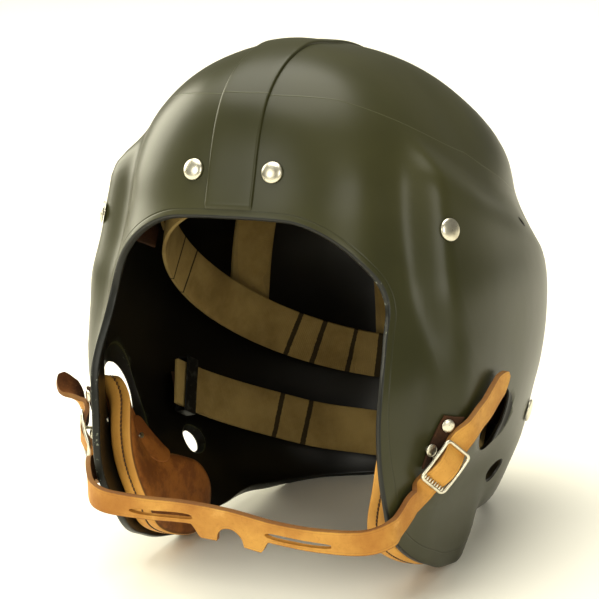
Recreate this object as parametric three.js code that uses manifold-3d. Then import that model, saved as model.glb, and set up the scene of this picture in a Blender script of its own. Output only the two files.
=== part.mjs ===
// A leather-strapped football helmet with a moulded plastic shell and webbing suspension.
// Millimetres. The head frame has its origin at the head's centre, +X to the wearer's left,
// +Y to the back and +Z up. At rest the helmet leans back on its two flaps and its neck rim.
import * as THREE from 'three';
import { mergeVertices } from 'three/addons/utils/BufferGeometryUtils.js';
import Module from 'manifold-3d';

const wasm = await Module();
wasm.setup();

const GAP = 0.4;
const WALL = 4.0;
const EDGE_ROUND = 1.2;
const RIM_STEPS = 64;
const SHELL_RINGS = 14;

// The point over the back of the crown that the shell's rings close on
const CROWN_BACK = { turn: 180, height: 45 };

// Distance from the head's centre to the outside of the shell at each height angle above the
// ears, in front, at the side and behind, with the squareness of the plan before and behind
const SHELL_SECTIONS = [
  { height: -70, front: 176, side: 186, back: 178, squareFront: 4.0, squareBack: 2.0 },
  { height: -60, front: 171, side: 158, back: 172, squareFront: 4.0, squareBack: 1.7 },
  { height: -50, front: 158, side: 133, back: 166, squareFront: 3.8, squareBack: 2.5 },
  { height: -40, front: 154, side: 122.5, back: 153, squareFront: 3.3, squareBack: 2.3 },
  { height: -30, front: 147, side: 114, back: 146, squareFront: 2.75, squareBack: 1.95 },
  { height: -20, front: 138, side: 107, back: 142.5, squareFront: 2.6, squareBack: 2.1 },
  { height: -10, front: 125, side: 101.5, back: 141, squareFront: 2.4, squareBack: 2.3 },
  { height: 0, front: 115, side: 98.5, back: 139, squareFront: 2.4, squareBack: 2.4 },
  { height: 10, front: 110.5, side: 96, back: 136, squareFront: 2.4, squareBack: 2.4 },
  { height: 20, front: 107.5, side: 97.5, back: 132, squareFront: 2.5, squareBack: 2.5 },
  { height: 30, front: 111, side: 101.5, back: 129, squareFront: 2.6, squareBack: 2.6 },
  { height: 50, front: 125.5, side: 109.5, back: 122, squareFront: 2.3, squareBack: 2.3 },
  { height: 70, front: 126.5, side: 119, back: 120, squareFront: 2.0, squareBack: 2.0 },
  { height: 90, front: 120, side: 120, back: 120, squareFront: 2.0, squareBack: 2.0 },
];

// The bulge over each ear stands proud below a top edge that falls towards the back
const BULGE = {
  rise: 12, topFront: 36, topBack: 16, topWidth: 18,
  frontTurn: 56.5, frontLean: 3, frontWidth: 12, backTurn: 165, backWidth: 50,
  bottom: -58, bottomWidth: 30,
};
// The soft valley in front of the bulge, at the temple
const VALLEY = { depth: 2.7, turn: 47.5, width: 6 };
// The lobe at the bottom of each flap flares out
const LOBE = { flare: 6, top: -48, depth: 10, backTurn: 112, backWidth: 14 };

// The rim from the middle of the brow, round the face opening, under the flap and the neck
const RIM = [
  { turn: 0, height: 19.5 }, { turn: 12, height: 19.1 }, { turn: 20, height: 18.1 },
  { turn: 28.4, height: 14.6 }, { turn: 37.3, height: 8 }, { turn: 43, height: 2 },
  { turn: 44.6, height: -3.5 }, { turn: 43, height: -10.9 }, { turn: 41.2, height: -19 },
  { turn: 40.5, height: -27 }, { turn: 41.2, height: -35 }, { turn: 43.5, height: -42 },
  { turn: 46.6, height: -47.6 }, { turn: 50, height: -50.3 }, { turn: 54, height: -52.4 },
  { turn: 59, height: -54.4 }, { turn: 65, height: -56.4 }, { turn: 73, height: -58.9 },
  { turn: 80, height: -60.2 }, { turn: 88, height: -60.9 }, { turn: 96, height: -60.7 },
  { turn: 103, height: -60.5 }, { turn: 109, height: -60.4 }, { turn: 115, height: -60 },
  { turn: 120, height: -59.2 }, { turn: 125, height: -58.2 }, { turn: 133, height: -56.2 },
  { turn: 145, height: -52 }, { turn: 155, height: -49.9 }, { turn: 168, height: -49 },
  { turn: 180, height: -48.8 },
];

const STRIP = { width: 26, rise: 1.5, sink: 1.2, front: 21.3, back: 170, steps: 16 };
// Openings through each flap, placed a little apart on the two sides and flared on the inside
const EAR_HOLE = { left: 83.5, right: 77, height: -32, across: 27, tall: 36, flare: 3 };
const VENT = { turn: 111.4, height: 15, across: 5 };
const PAD_HOLE = { left: 109, right: 105.5, height: -47.2, across: 14, tall: 12.5, flare: 3.5 };

// Pins through the wall, the same both sides; grip is the depth of what each one holds
const PIN_RADIUS = 1.6;
const RIVETS = [
  { name: 'forehead', turn: 12.9, height: 31, across: 11, dome: 2.6, grip: 18 },
  { name: 'temple', turn: 61.8, height: 15.6, across: 11.5, dome: 2.2, grip: 9.6 },
  { name: 'rear', turn: 114.5, height: -32.6, across: 12, dome: 2.0, grip: 8.8 },
];
const STUDS = [
  { name: 'upper', turn: 59.8, height: -29.1, across: 6.6, dome: 1.3, out: 2.6 },
  { name: 'lower', turn: 55.3, height: -34.1, across: 6.4, dome: 1.2, out: 2.6 },
];

const WEBBING = { width: 25, thick: 2 };
const LEATHER = 1.8;
// The headband's loop: half width and length, its middle behind the head's centre, and its fall
const HEADBAND = {
  halfWidth: 80, halfLength: 99.5, back: 14, middle: -3, slope: 55, dip: 5, lean: 0.12,
};
// The neck band, from its end beside the ear to the nape
const NECK_BAND = [
  { x: 88, y: 8, z: -64 }, { x: 84, y: 28, z: -72 }, { x: 76, y: 49, z: -80 },
  { x: 62, y: 74, z: -89 }, { x: 44, y: 92, z: -96 }, { x: 21, y: 101, z: -99 },
  { x: 0, y: 103, z: -100 },
];
const CLIP = { long: 10, tall: 31, thick: 6.4, space: 2.4, along: 0.035 };
const TEMPLE_TAB = { angle: 64, width: 14, outside: 6 };
const NECK_TAB = { width: 15, outside: 5, along: 0.02 };
// Crown straps over a dome that rises from the headband; layers lie apart only near the top
const CROWN = { top: 84, spacing: 3.1, outside: 3.2, foot: 4, lift: 12, slack: 1, steps: 18 };
const CROWN_STRAPS = [
  { name: 'crown_strap_middle', angle: 184, layer: 0 },
  { name: 'crown_strap_right', angle: -119, layer: 1 },
  { name: 'crown_strap_left', angle: 119, layer: 2 },
];

// The jaw pad's outline seen from the side, from its top corner down the front edge
const JAW_PAD = {
  thick: 14, clearance: 0.6, sides: 26, turn: 75, height: -45, leftForward: 9,
  outline: [
    { y: -55, z: -54 }, { y: -61, z: -62 }, { y: -67, z: -78 }, { y: -68, z: -95 },
    { y: -65, z: -112 }, { y: -55, z: -128 }, { y: -36, z: -138 }, { y: -12, z: -142 },
    { y: 5, z: -136 }, { y: 12, z: -120 }, { y: 2, z: -107 }, { y: -16, z: -100 },
    { y: -34, z: -95 }, { y: -43, z: -86 }, { y: -45, z: -72 }, { y: -47, z: -58 },
  ],
};

const STRAP = { width: 12.6, thick: 2.6, steps: 72 };
// The strap's way through a buckle, from its high end bar over the middle bar to the low one
const THROUGH_BUCKLE = [
  { along: 1.3, rise: -3.4 }, { along: 1, rise: -3.1 }, { along: 0.45, rise: 0 },
  { along: 0, rise: 1 }, { along: -0.45, rise: -0.2 }, { along: -1, rise: -3.5 },
  { along: -1.25, rise: -4.1 },
];
// The strap's route: over the wearer's left side from its free tip, across the chin, and up
// the right side; turn and height lie on the shell, the rest is free
const STRAP_LEFT = [
  { turn: 80.3, height: -20.6, out: 4.6 }, { turn: 77.4, height: -22.4, out: 4.2 },
  { turn: 74, height: -24.6, out: 4 }, { turn: 71.2, height: -26.5, out: 4 },
  { turn: 67.8, height: -28, out: 4 }, { turn: 65, height: -29.4, out: 4.3 },
  ...THROUGH_BUCKLE,
  { turn: 51, height: -41.6, out: 3.6 }, { turn: 49.6, height: -41.9, out: 3.4 },
  { turn: 48, height: -43.2, out: 3.3 }, { turn: 46, height: -44.5, out: 3.3 },
];
const STRAP_CHIN = [
  { x: 82.5, y: -86, z: -116.5, nx: 0.75, ny: -0.65, nz: -0.1 },
  { x: 74, y: -92, z: -120, nx: 0.35, ny: -0.92, nz: -0.2 },
  { x: 50, y: -95, z: -121, nx: 0.1, ny: -0.92, nz: -0.35 },
  { x: 25, y: -96, z: -119, nx: 0, ny: -0.9, nz: -0.42 },
  { x: 0, y: -96, z: -115, nx: 0, ny: -0.9, nz: -0.42 },
  { x: -25, y: -96, z: -113, nx: 0, ny: -0.9, nz: -0.42 },
  { x: -50, y: -96, z: -113, nx: -0.05, ny: -0.92, nz: -0.35 },
  { x: -73, y: -96.5, z: -111, nx: -0.3, ny: -0.92, nz: -0.2 },
  { x: -82.5, y: -91, z: -107.5, nx: -0.75, ny: -0.65, nz: -0.1 },
];
const STRAP_RIGHT = [
  { turn: 47, height: -40, out: 3.6 }, { turn: 51.2, height: -42, out: 3.6 },
  ...[...THROUGH_BUCKLE].reverse(), { turn: 63.4, height: -30.7, out: 5.8 },
  { x: -114.8, y: -53.8, z: -65, nx: -0.95, ny: 0.15, nz: -0.3 },
  { x: -119.5, y: -53.8, z: -60.5, nx: -0.85, ny: 0.5, nz: -0.2 },
  { x: -123, y: -53.7, z: -55, nx: -0.65, ny: 0.75, nz: -0.1 },
];
// The chin part: teeth beside a notch below the middle, and a slot each side
const CHIN = {
  toothEnd: 18, toothDepth: 14, taper: 5, notch: 7, slotStart: 21, slotEnd: 57,
  lines: [0, 0.56, 0.77, 1], slotLine: 1,
};
const BUCKLE = {
  low: { turn: 53.2, height: -39.5 }, high: { turn: 61.8, height: -32.7 }, width: 17.6,
  corner: 2.2, wire: 1.8, out: 7.7, bow: 0.7, bar: 1.6, barOut: 4.7, steps: 26,
};
const BUCKLE_TAB = { top: -27.2, bottom: -37.2, front: 58.9, back: 63.8, rake: 5.8, thick: 1.5 };

// Lean at rest: the flaps' lobes and the neck rim all touch the ground
const LEAN_BACK = 11;
// Depth worn flat where the lobes and the neck rim stand on the ground
const REST_FLAT = 0.6;

const COLOURS = {
  shell: { color: 0x55533a, roughness: 0.42, metalness: 0 },
  webbing: { color: 0xb9a878, roughness: 0.9, metalness: 0 },
  leather: { color: 0xc58a3c, roughness: 0.65, metalness: 0 },
  darkLeather: { color: 0x6b3a1c, roughness: 0.75, metalness: 0 },
  nickel: { color: 0xc9c6bd, roughness: 0.28, metalness: 1 },
  clip: { color: 0x4a4a46, roughness: 0.5, metalness: 0.8 },
};

const rad = THREE.MathUtils.degToRad;
const deg = THREE.MathUtils.radToDeg;

function material(name) {
  return new THREE.MeshStandardMaterial(COLOURS[name]);
}

function ease(t) {
  return THREE.MathUtils.smoothstep(t, 0, 1);
}

// A column of the section table at a height angle, as a smooth curve carried over the crown
function sectionValue(column, height) {
  const rows = SHELL_SECTIONS;
  const last = rows.length - 1;
  const at = (i) => {
    if (i < 0) {
      return { x: rows[0].height, y: rows[0][column] };
    }
    if (i <= last) {
      return { x: rows[i].height, y: rows[i][column] };
    }
    return { x: 180 - rows[2 * last - i].height, y: rows[2 * last - i][column] };
  };
  let i = 0;
  while (i < last - 1 && rows[i + 1].height < height) {
    i += 1;
  }
  const [a, b, c, d] = [at(i - 1), at(i), at(i + 1), at(i + 2)];
  const slopeB = (c.y - a.y) / (c.x - a.x);
  const slopeC = (d.y - b.y) / (d.x - b.x);
  const h = c.x - b.x;
  const t = THREE.MathUtils.clamp((height - b.x) / h, 0, 1);
  return (2 * t ** 3 - 3 * t ** 2 + 1) * b.y + (t ** 3 - 2 * t ** 2 + t) * h * slopeB
    + (3 * t ** 2 - 2 * t ** 3) * c.y + (t ** 3 - t ** 2) * h * slopeC;
}

function bulgeRise(turn, height) {
  const slope = THREE.MathUtils.clamp((turn - 55) / 60, -0.2, 1.2);
  const top = BULGE.topFront + (BULGE.topBack - BULGE.topFront) * slope;
  const front = BULGE.frontTurn + BULGE.frontLean * ease((5 - height) / 25);
  return BULGE.rise * ease((top - height) / BULGE.topWidth + 0.5)
    * ease((turn - front) / BULGE.frontWidth + 0.5)
    * ease((BULGE.backTurn - turn) / BULGE.backWidth)
    * ease((height - BULGE.bottom) / BULGE.bottomWidth);
}

function valleyDip(turn, height) {
  return VALLEY.depth * Math.exp(-(((turn - VALLEY.turn) / VALLEY.width) ** 2))
    * ease((45 - height) / 20) * ease((height + 25) / 25);
}

function lobeFlare(turn, height) {
  return LOBE.flare * ease((LOBE.top - height) / LOBE.depth)
    * ease((LOBE.backTurn - turn) / LOBE.backWidth) * ease((turn - 30) / 20);
}

// Distance from the head's centre to the outside of the shell
function shellRadius(turn, height) {
  const t = Math.abs(THREE.MathUtils.euclideanModulo(turn + 180, 360) - 180);
  const fore = t < 90;
  const end = sectionValue(fore ? 'front' : 'back', height);
  const side = sectionValue('side', height);
  const square = sectionValue(fore ? 'squareFront' : 'squareBack', height);
  const c = Math.abs(Math.cos(rad(t)));
  const s = Math.abs(Math.sin(rad(t)));
  const plan = ((c / end) ** square + (s / side) ** square) ** (-1 / square);
  return plan + bulgeRise(t, height) - valleyDip(t, height) + lobeFlare(t, height);
}

function direction(turn, height) {
  const [t, h] = [rad(turn), rad(height)];
  return new THREE.Vector3(Math.cos(h) * Math.sin(t), -Math.cos(h) * Math.cos(t), Math.sin(h));
}

function surfaceAlong(dir, inset = 0) {
  const d = dir.clone().normalize();
  const turn = deg(Math.atan2(d.x, -d.y));
  const height = deg(Math.asin(THREE.MathUtils.clamp(d.z, -1, 1)));
  return d.multiplyScalar(shellRadius(turn, height) - inset);
}

// The shell's outward normal along a direction, from two short steps over its surface
function normalAlong(dir) {
  const d = dir.clone().normalize();
  const seed = Math.abs(d.z) < 0.9 ? new THREE.Vector3(0, 0, 1) : new THREE.Vector3(1, 0, 0);
  const u = new THREE.Vector3().crossVectors(seed, d).normalize();
  const v = new THREE.Vector3().crossVectors(d, u);
  const step = 0.01;
  const du = surfaceAlong(d.clone().addScaledVector(u, step))
    .sub(surfaceAlong(d.clone().addScaledVector(u, -step)));
  const dv = surfaceAlong(d.clone().addScaledVector(v, step))
    .sub(surfaceAlong(d.clone().addScaledVector(v, -step)));
  return du.cross(dv).normalize();
}

// A point on the shell at a turn and height, moved out along the normal
function onShell(turn, height, out = 0) {
  const d = direction(turn, height);
  return surfaceAlong(d).addScaledVector(normalAlong(d), out);
}

function solidOf(geometry) {
  const bare = geometry.clone();
  bare.deleteAttribute('normal');
  bare.deleteAttribute('uv');
  const merged = mergeVertices(bare, 1e-4);
  return new wasm.Manifold(new wasm.Mesh({
    numProp: 3,
    vertProperties: new Float32Array(merged.attributes.position.array),
    triVerts: new Uint32Array(merged.index.array),
  }));
}

function geometryOf(solid) {
  const mesh = solid.getMesh();
  const geometry = new THREE.BufferGeometry();
  geometry.setAttribute('position', new THREE.BufferAttribute(mesh.vertProperties, 3));
  geometry.setIndex(new THREE.BufferAttribute(mesh.triVerts, 1));
  geometry.computeVertexNormals();
  return geometry;
}

// A closed solid from rings of points, drawn to one point before the first and after the last
function loftToPoints(first, rings, last) {
  const n = rings[0].length;
  const points = [first, ...rings.flat(), last];
  const index = [];
  const at = (i, k) => 1 + i * n + (k % n);
  for (let i = 0; i < rings.length - 1; i += 1) {
    for (let k = 0; k < n; k += 1) {
      index.push(at(i, k), at(i + 1, k), at(i + 1, k + 1));
      index.push(at(i, k), at(i + 1, k + 1), at(i, k + 1));
    }
  }
  for (let k = 0; k < n; k += 1) {
    index.push(0, at(0, k), at(0, k + 1));
    index.push(points.length - 1, at(rings.length - 1, k + 1), at(rings.length - 1, k));
  }
  return meshOf(points, index);
}

// A sheet of even thickness over a grid of points and normals, where cut cells are openings
function sheetSolid(grid, thick, { looped = false, cut = () => false } = {}) {
  const rows = grid.length;
  const cols = grid[0].length;
  const points = [0.5, -0.5].flatMap((side) => grid.flat()
    .map(({ p, n }) => p.clone().addScaledVector(n, side * thick)));
  const at = (i, j, side) => side * rows * cols + (i % rows) * cols + j;
  const last = looped ? rows : rows - 1;
  const kept = (i, j) => {
    const row = looped ? (i + rows) % rows : i;
    return row >= 0 && row < last && j >= 0 && j < cols - 1 && !cut(row, j);
  };
  const index = [];
  const wall = (a, b) => {
    index.push(at(...a, 0), at(...b, 0), at(...b, 1));
    index.push(at(...a, 0), at(...b, 1), at(...a, 1));
  };
  for (let i = 0; i < last; i += 1) {
    for (let j = 0; j < cols - 1; j += 1) {
      if (kept(i, j)) {
        const [a, b, c, d] = [[i, j], [i, j + 1], [i + 1, j + 1], [i + 1, j]];
        index.push(at(...a, 0), at(...d, 0), at(...c, 0), at(...a, 0), at(...c, 0), at(...b, 0));
        index.push(at(...a, 1), at(...c, 1), at(...d, 1), at(...a, 1), at(...b, 1), at(...c, 1));
        if (!kept(i, j - 1)) {
          wall(d, a);
        }
        if (!kept(i, j + 1)) {
          wall(b, c);
        }
        if (!kept(i - 1, j)) {
          wall(a, b);
        }
        if (!kept(i + 1, j)) {
          wall(c, d);
        }
      }
    }
  }
  return meshOf(points, index);
}

function meshOf(points, index) {
  const geometry = new THREE.BufferGeometry();
  const flat = new Float32Array(points.flatMap((p) => [p.x, p.y, p.z]));
  geometry.setAttribute('position', new THREE.BufferAttribute(flat, 3));
  geometry.setIndex(index);
  return outward(geometry);
}

// Turn a closed mesh's faces outward, whichever way its rings ran
function outward(geometry) {
  const p = geometry.attributes.position;
  const index = Array.from(geometry.index.array);
  let volume = 0;
  const [a, b, c] = [new THREE.Vector3(), new THREE.Vector3(), new THREE.Vector3()];
  for (let i = 0; i < index.length; i += 3) {
    a.fromBufferAttribute(p, index[i]);
    b.fromBufferAttribute(p, index[i + 1]);
    c.fromBufferAttribute(p, index[i + 2]);
    volume += a.dot(b.cross(c));
  }
  if (volume < 0) {
    for (let i = 0; i < index.length; i += 3) {
      [index[i + 1], index[i + 2]] = [index[i + 2], index[i + 1]];
    }
    geometry.setIndex(index);
  }
  geometry.computeVertexNormals();
  return geometry;
}

// The rim's directions at even steps all the way round, the left half mirrored from the right
function rimDirections() {
  const half = RIM.map((row) => onShell(row.turn, row.height));
  const mirrored = half.slice(1, -1).reverse().map((p) => new THREE.Vector3(-p.x, p.y, p.z));
  const curve = new THREE.CatmullRomCurve3([...half, ...mirrored], true, 'centripetal');
  curve.arcLengthDivisions = 1200;
  return curve.getSpacedPoints(RIM_STEPS).slice(0, RIM_STEPS).map((p) => p.normalize());
}

// Rings from the rim to the back of the crown, each a step along the great circles between
function shellRings(rim, inset) {
  const pole = direction(CROWN_BACK.turn, CROWN_BACK.height);
  const rings = [];
  for (let i = 1; i < SHELL_RINGS; i += 1) {
    const t = 1 - (i / SHELL_RINGS) ** 1.12;
    rings.push(rim.map((end) => {
      const angle = pole.angleTo(end);
      const d = pole.clone().multiplyScalar(Math.sin((1 - t) * angle))
        .addScaledVector(end, Math.sin(t * angle)).normalize();
      return surfaceAlong(d).addScaledVector(normalAlong(d), -inset);
    }));
  }
  return rings;
}

// The wall as one closed solid: up the inside, over the rounded cut edge, and up the outside
function shellWall() {
  const rim = rimDirections();
  const pole = direction(CROWN_BACK.turn, CROWN_BACK.height);
  const edge = (inset, back) => rim.map((d) => {
    const inward = pole.clone().addScaledVector(d, -pole.dot(d)).normalize();
    return surfaceAlong(d).addScaledVector(normalAlong(d), -inset).addScaledVector(inward, back);
  });
  const rings = [
    ...shellRings(rim, WALL).reverse(),
    edge(WALL, EDGE_ROUND), edge(WALL - EDGE_ROUND, 0),
    edge(EDGE_ROUND, 0), edge(0, EDGE_ROUND),
    ...shellRings(rim, 0),
  ];
  const top = surfaceAlong(pole);
  return loftToPoints(top.clone().addScaledVector(normalAlong(pole), -WALL), rings, top);
}

// The raised strip over the middle of the crown, sunk a little into the shell
function crownStrip() {
  const rows = [];
  for (let i = 0; i <= STRIP.steps; i += 1) {
    const h = STRIP.front + (STRIP.back - STRIP.front) * (i / STRIP.steps);
    const middle = h <= 90 ? direction(0, h) : direction(180, 180 - h);
    rows.push([-1, 0, 1].map((side) => {
      const d = surfaceAlong(middle);
      d.x = side * STRIP.width / 2;
      const n = normalAlong(d);
      return { p: surfaceAlong(d).addScaledVector(n, (STRIP.rise - STRIP.sink) / 2), n };
    }));
  }
  return sheetSolid(rows, STRIP.rise + STRIP.sink);
}

// A cutter or pin lying along the shell's normal at a turn and height
function alongNormal(geometry, turn, height, out = 0) {
  const n = normalAlong(direction(turn, height));
  const turnTo = new THREE.Quaternion().setFromUnitVectors(new THREE.Vector3(0, 1, 0), n);
  const at = onShell(turn, height, out);
  return geometry.applyQuaternion(turnTo).translate(at.x, at.y, at.z);
}

// A plain round cutter through the shell at a turn and height
function drill(turn, height, radius, sides = 12) {
  const cutter = new THREE.CylinderGeometry(radius, radius, 12 * WALL, sides);
  return solidOf(alongNormal(cutter, turn, height));
}

// An oval cutter square to the shell, flared on the inside
function ovalCutter({ left, right, height, across, tall, flare }, side) {
  const r = across / 2;
  const inside = r + flare * (3 * WALL - 1) / (WALL - 1);
  const profile = [[0, -3 * WALL], [inside, -3 * WALL], [r, -1], [r, 3 * WALL], [0, 3 * WALL]];
  const lathe = new THREE.LatheGeometry(profile.map(([x, y]) => new THREE.Vector2(x, y)), 28);
  lathe.scale(1, 1, tall / across);
  return solidOf(alongNormal(lathe, side > 0 ? left : -right, height));
}

// Cut a piece back to lie on the shell: the undrilled wall, shifted towards the piece by the gap
function fitted(piece, turn, height, shift) {
  const offset = normalAlong(direction(turn, height)).multiplyScalar(shift);
  return geometryOf(piece.subtract(blank.translate(offset.toArray())));
}

function shell() {
  let solid = blank.add(solidOf(crownStrip()));
  for (const side of [1, -1]) {
    solid = solid.subtract(ovalCutter(EAR_HOLE, side)).subtract(ovalCutter(PAD_HOLE, side));
    solid = solid.subtract(drill(side * VENT.turn, VENT.height, VENT.across / 2));
    for (const pin of [...RIVETS, ...STUDS]) {
      solid = solid.subtract(pinHole(pin, side));
    }
  }
  const up = new THREE.Vector3(0, -Math.sin(rad(LEAN_BACK)), Math.cos(rad(LEAN_BACK)));
  const mesh = geometryOf(solid).applyMatrix4(new THREE.Matrix4().makeRotationX(-rad(LEAN_BACK)));
  mesh.computeBoundingBox();
  return geometryOf(solid.trimByPlane(up.toArray(), mesh.boundingBox.min.z + REST_FLAT));
}

function pinHole({ turn, height }, side) {
  return drill(side * turn, height, PIN_RADIUS + 1.3 * GAP, 8);
}

// A domed rivet with its shank through the wall and what it holds, and a flange inside
function rivet({ turn, height, across, dome, grip, out = 0 }, side) {
  const radius = across / 2;
  const flat = [[0, -WALL - out], [PIN_RADIUS, -WALL - out]];
  const flanged = [[0, -grip - 1], [PIN_RADIUS * 2.4, -grip - 1], [PIN_RADIUS * 2.4, -grip],
    [PIN_RADIUS, -grip]];
  const foot = grip ? flanged : flat;
  const steps = 3;
  const profile = [...foot, [PIN_RADIUS, GAP], [radius, GAP]];
  for (let i = 0; i <= steps; i += 1) {
    const a = (i / steps) * Math.PI / 2;
    profile.push([i === steps ? 0 : radius * Math.cos(a), GAP + 0.4 + (dome - 0.4) * Math.sin(a)]);
  }
  const lathe = new THREE.LatheGeometry(profile.map(([r, y]) => new THREE.Vector2(r, y)), 9);
  return geometryOf(solidOf(alongNormal(lathe, side * turn, height, out)));
}

// A point of the headband: a loop round the head, high at the brow and low at the back
function headbandPoint(angle) {
  const a = rad(angle);
  const [c, s] = [Math.cos(a), Math.sin(a)];
  const z = HEADBAND.middle + HEADBAND.slope * c - HEADBAND.dip * s * s;
  return new THREE.Vector3(HEADBAND.halfWidth * s, HEADBAND.back - HEADBAND.halfLength * c, z);
}

function headbandNormal(angle) {
  const p = headbandPoint(angle);
  const out = new THREE.Vector3(p.x / HEADBAND.halfWidth ** 2,
    (p.y - HEADBAND.back) / HEADBAND.halfLength ** 2, 0).normalize();
  out.z = HEADBAND.lean;
  return out.normalize();
}

// A ribbon's grid from its centre line and outward normals; half widths may differ per side
function ribbonGrid(points, normals, across, looped = false) {
  const n = points.length;
  return points.map((p, i) => {
    const ahead = points[looped ? (i + 1) % n : Math.min(i + 1, n - 1)];
    const behind = points[looped ? (i + n - 1) % n : Math.max(i - 1, 0)];
    const along = ahead.clone().sub(behind).normalize();
    const normal = normals[i].clone().addScaledVector(along, -normals[i].dot(along)).normalize();
    const sideways = new THREE.Vector3().crossVectors(normal, along);
    return across(i).map((v) => ({ p: p.clone().addScaledVector(sideways, v), n: normal }));
  });
}

function headband() {
  const steps = 54;
  const angles = Array.from({ length: steps }, (_, i) => (i / steps) * 360);
  const half = WEBBING.width / 2;
  const grid = ribbonGrid(angles.map(headbandPoint), angles.map(headbandNormal),
    () => [-half, half], true);
  let solid = solidOf(sheetSolid(grid, WEBBING.thick, { looped: true }));
  for (const side of [1, -1]) {
    solid = solid.subtract(pinHole(RIVETS[0], side));
  }
  return geometryOf(solid);
}

// Even points along a smooth curve, with the control normals carried along it
function smoothPath(route, steps) {
  const curve = new THREE.CatmullRomCurve3(route.map((row) => row.p), false, 'centripetal');
  const normals = new THREE.CatmullRomCurve3(route.map((row) => row.n), false, 'centripetal');
  curve.arcLengthDivisions = 800;
  const out = { points: [], normals: [] };
  for (let i = 0; i <= steps; i += 1) {
    const t = curve.getUtoTmapping(i / steps);
    out.points.push(curve.getPoint(t));
    out.normals.push(normals.getPoint(t).normalize());
  }
  out.length = curve.getLength();
  return out;
}

function neckPath() {
  const half = NECK_BAND.map(({ x, y, z }) => new THREE.Vector3(x, y, z));
  const route = [...half, ...half.slice(0, -1).reverse()
    .map((p) => new THREE.Vector3(-p.x, p.y, p.z))];
  return smoothPath(route.map((p) => ({
    p, n: new THREE.Vector3(p.x, p.y - 20, -14).normalize(),
  })), 30);
}

function neckBand() {
  const path = neckPath();
  const w = WEBBING.width / 2;
  return sheetSolid(ribbonGrid(path.points, path.normals, () => [-w, w]), WEBBING.thick);
}

// A place on the neck band near one end: middle, outward normal and direction towards the nape
function neckPlace(side, along) {
  const path = neckPath();
  const t = side > 0 ? along : 1 - along;
  const steps = path.points.length - 1;
  const i = Math.min(Math.floor(t * steps), steps - 1);
  const middle = path.points[i].clone().lerp(path.points[i + 1], t * steps - i);
  const forward = path.points[i + 1].clone().sub(path.points[i]).multiplyScalar(side).normalize();
  const normal = path.normals[i].clone().addScaledVector(forward,
    -path.normals[i].dot(forward)).normalize();
  return { middle, forward, normal };
}

// Height of the crown straps' dome over a point of the plan, with its outward normal
function domePoint(x, y, outside) {
  const [w, l] = [HEADBAND.halfWidth + outside, HEADBAND.halfLength + outside - CROWN.slack];
  const middle = HEADBAND.back + CROWN.slack;
  let [dx, dy] = [x / w, (y - middle) / l];
  const reach = Math.hypot(dx, dy);
  const kept = Math.min(1, 0.9995 / reach);
  [dx, dy] = [dx * kept, dy * kept];
  const turn = Math.atan2(dx, -dy);
  const foot = headbandPoint(deg(turn)).z + CROWN.lift * (1 + Math.cos(turn)) / 2;
  const rise = (CROWN.top + outside - foot) * Math.sqrt(1 - dx * dx - dy * dy);
  const p = new THREE.Vector3(dx * w, dy * l + middle, foot + rise);
  const n = new THREE.Vector3(dx / w, dy / l, rise / (CROWN.top + outside - foot) ** 2);
  return { p, n: n.normalize() };
}

// A crown strap from one side of the headband over the head to the other
function crownStrap({ angle, layer }) {
  const rows = [];
  const [sa, ca] = [Math.sin(rad(angle)), Math.cos(rad(angle))];
  const across = new THREE.Vector2(HEADBAND.halfLength * ca, HEADBAND.halfWidth * sa).normalize();
  for (let i = 0; i <= CROWN.steps; i += 1) {
    const reach = Math.sin((1 - 2 * (i / CROWN.steps)) * Math.PI / 2);
    const outside = CROWN.outside + layer * CROWN.spacing * (1 - reach ** 4);
    const x = reach * (HEADBAND.halfWidth + outside) * sa;
    const y = HEADBAND.back - reach * (HEADBAND.halfLength + outside) * ca;
    rows.push([-1, 0, 1].map((side) => domePoint(x + side * across.x * WEBBING.width / 2,
      y + side * across.y * WEBBING.width / 2, outside)));
  }
  const foot = (row) => row.map(({ p, n }) => ({
    p: p.clone().addScaledVector(n, CROWN.foot * HEADBAND.lean)
      .add(new THREE.Vector3(0, 0, -CROWN.foot)),
    n,
  }));
  rows.unshift(foot(rows[0]));
  rows.push(foot(rows[rows.length - 1]));
  return sheetSolid(rows, WEBBING.thick);
}

// A leather tab that leaves a rivet flat against the shell and ends flat on the webbing
function leatherTab(pin, side, end, endNormal, width) {
  const inset = -WALL - GAP - LEATHER / 2 - 0.3;
  const start = onShell(side * pin.turn, pin.height, inset);
  const normal = normalAlong(direction(side * pin.turn, pin.height));
  const way = end.clone().sub(start);
  const flat = way.clone().projectOnPlane(normal).normalize();
  const route = [
    { p: start.clone().addScaledVector(flat, -5), n: normal },
    { p: start, n: normal },
    { p: start.clone().addScaledVector(flat, 5), n: normal },
    { p: start.clone().addScaledVector(flat, 5).lerp(end, 0.5), n: endNormal },
    { p: end, n: endNormal },
  ];
  const path = smoothPath(route, 6);
  const tab = solidOf(sheetSolid(ribbonGrid(path.points, path.normals,
    () => [-width / 2, width / 2]), LEATHER));
  const flange = new THREE.CylinderGeometry(2.4 * PIN_RADIUS + GAP, 2.4 * PIN_RADIUS + GAP, 10, 12);
  const room = alongNormal(flange, side * pin.turn, pin.height, GAP - pin.grip - 5);
  const cut = tab.subtract(pinHole(pin, side)).subtract(solidOf(room));
  return fitted(cut, side * pin.turn, pin.height, -GAP);
}

function templeTab(side) {
  const angle = side * TEMPLE_TAB.angle;
  const normal = headbandNormal(angle);
  const end = headbandPoint(angle).addScaledVector(normal, TEMPLE_TAB.outside);
  return leatherTab(RIVETS[1], side, end, normal, TEMPLE_TAB.width);
}

function neckTab(side) {
  const { middle, normal } = neckPlace(side, NECK_TAB.along);
  const end = middle.addScaledVector(normal, NECK_TAB.outside);
  return leatherTab(RIVETS[2], side, end, normal, NECK_TAB.width);
}

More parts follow.
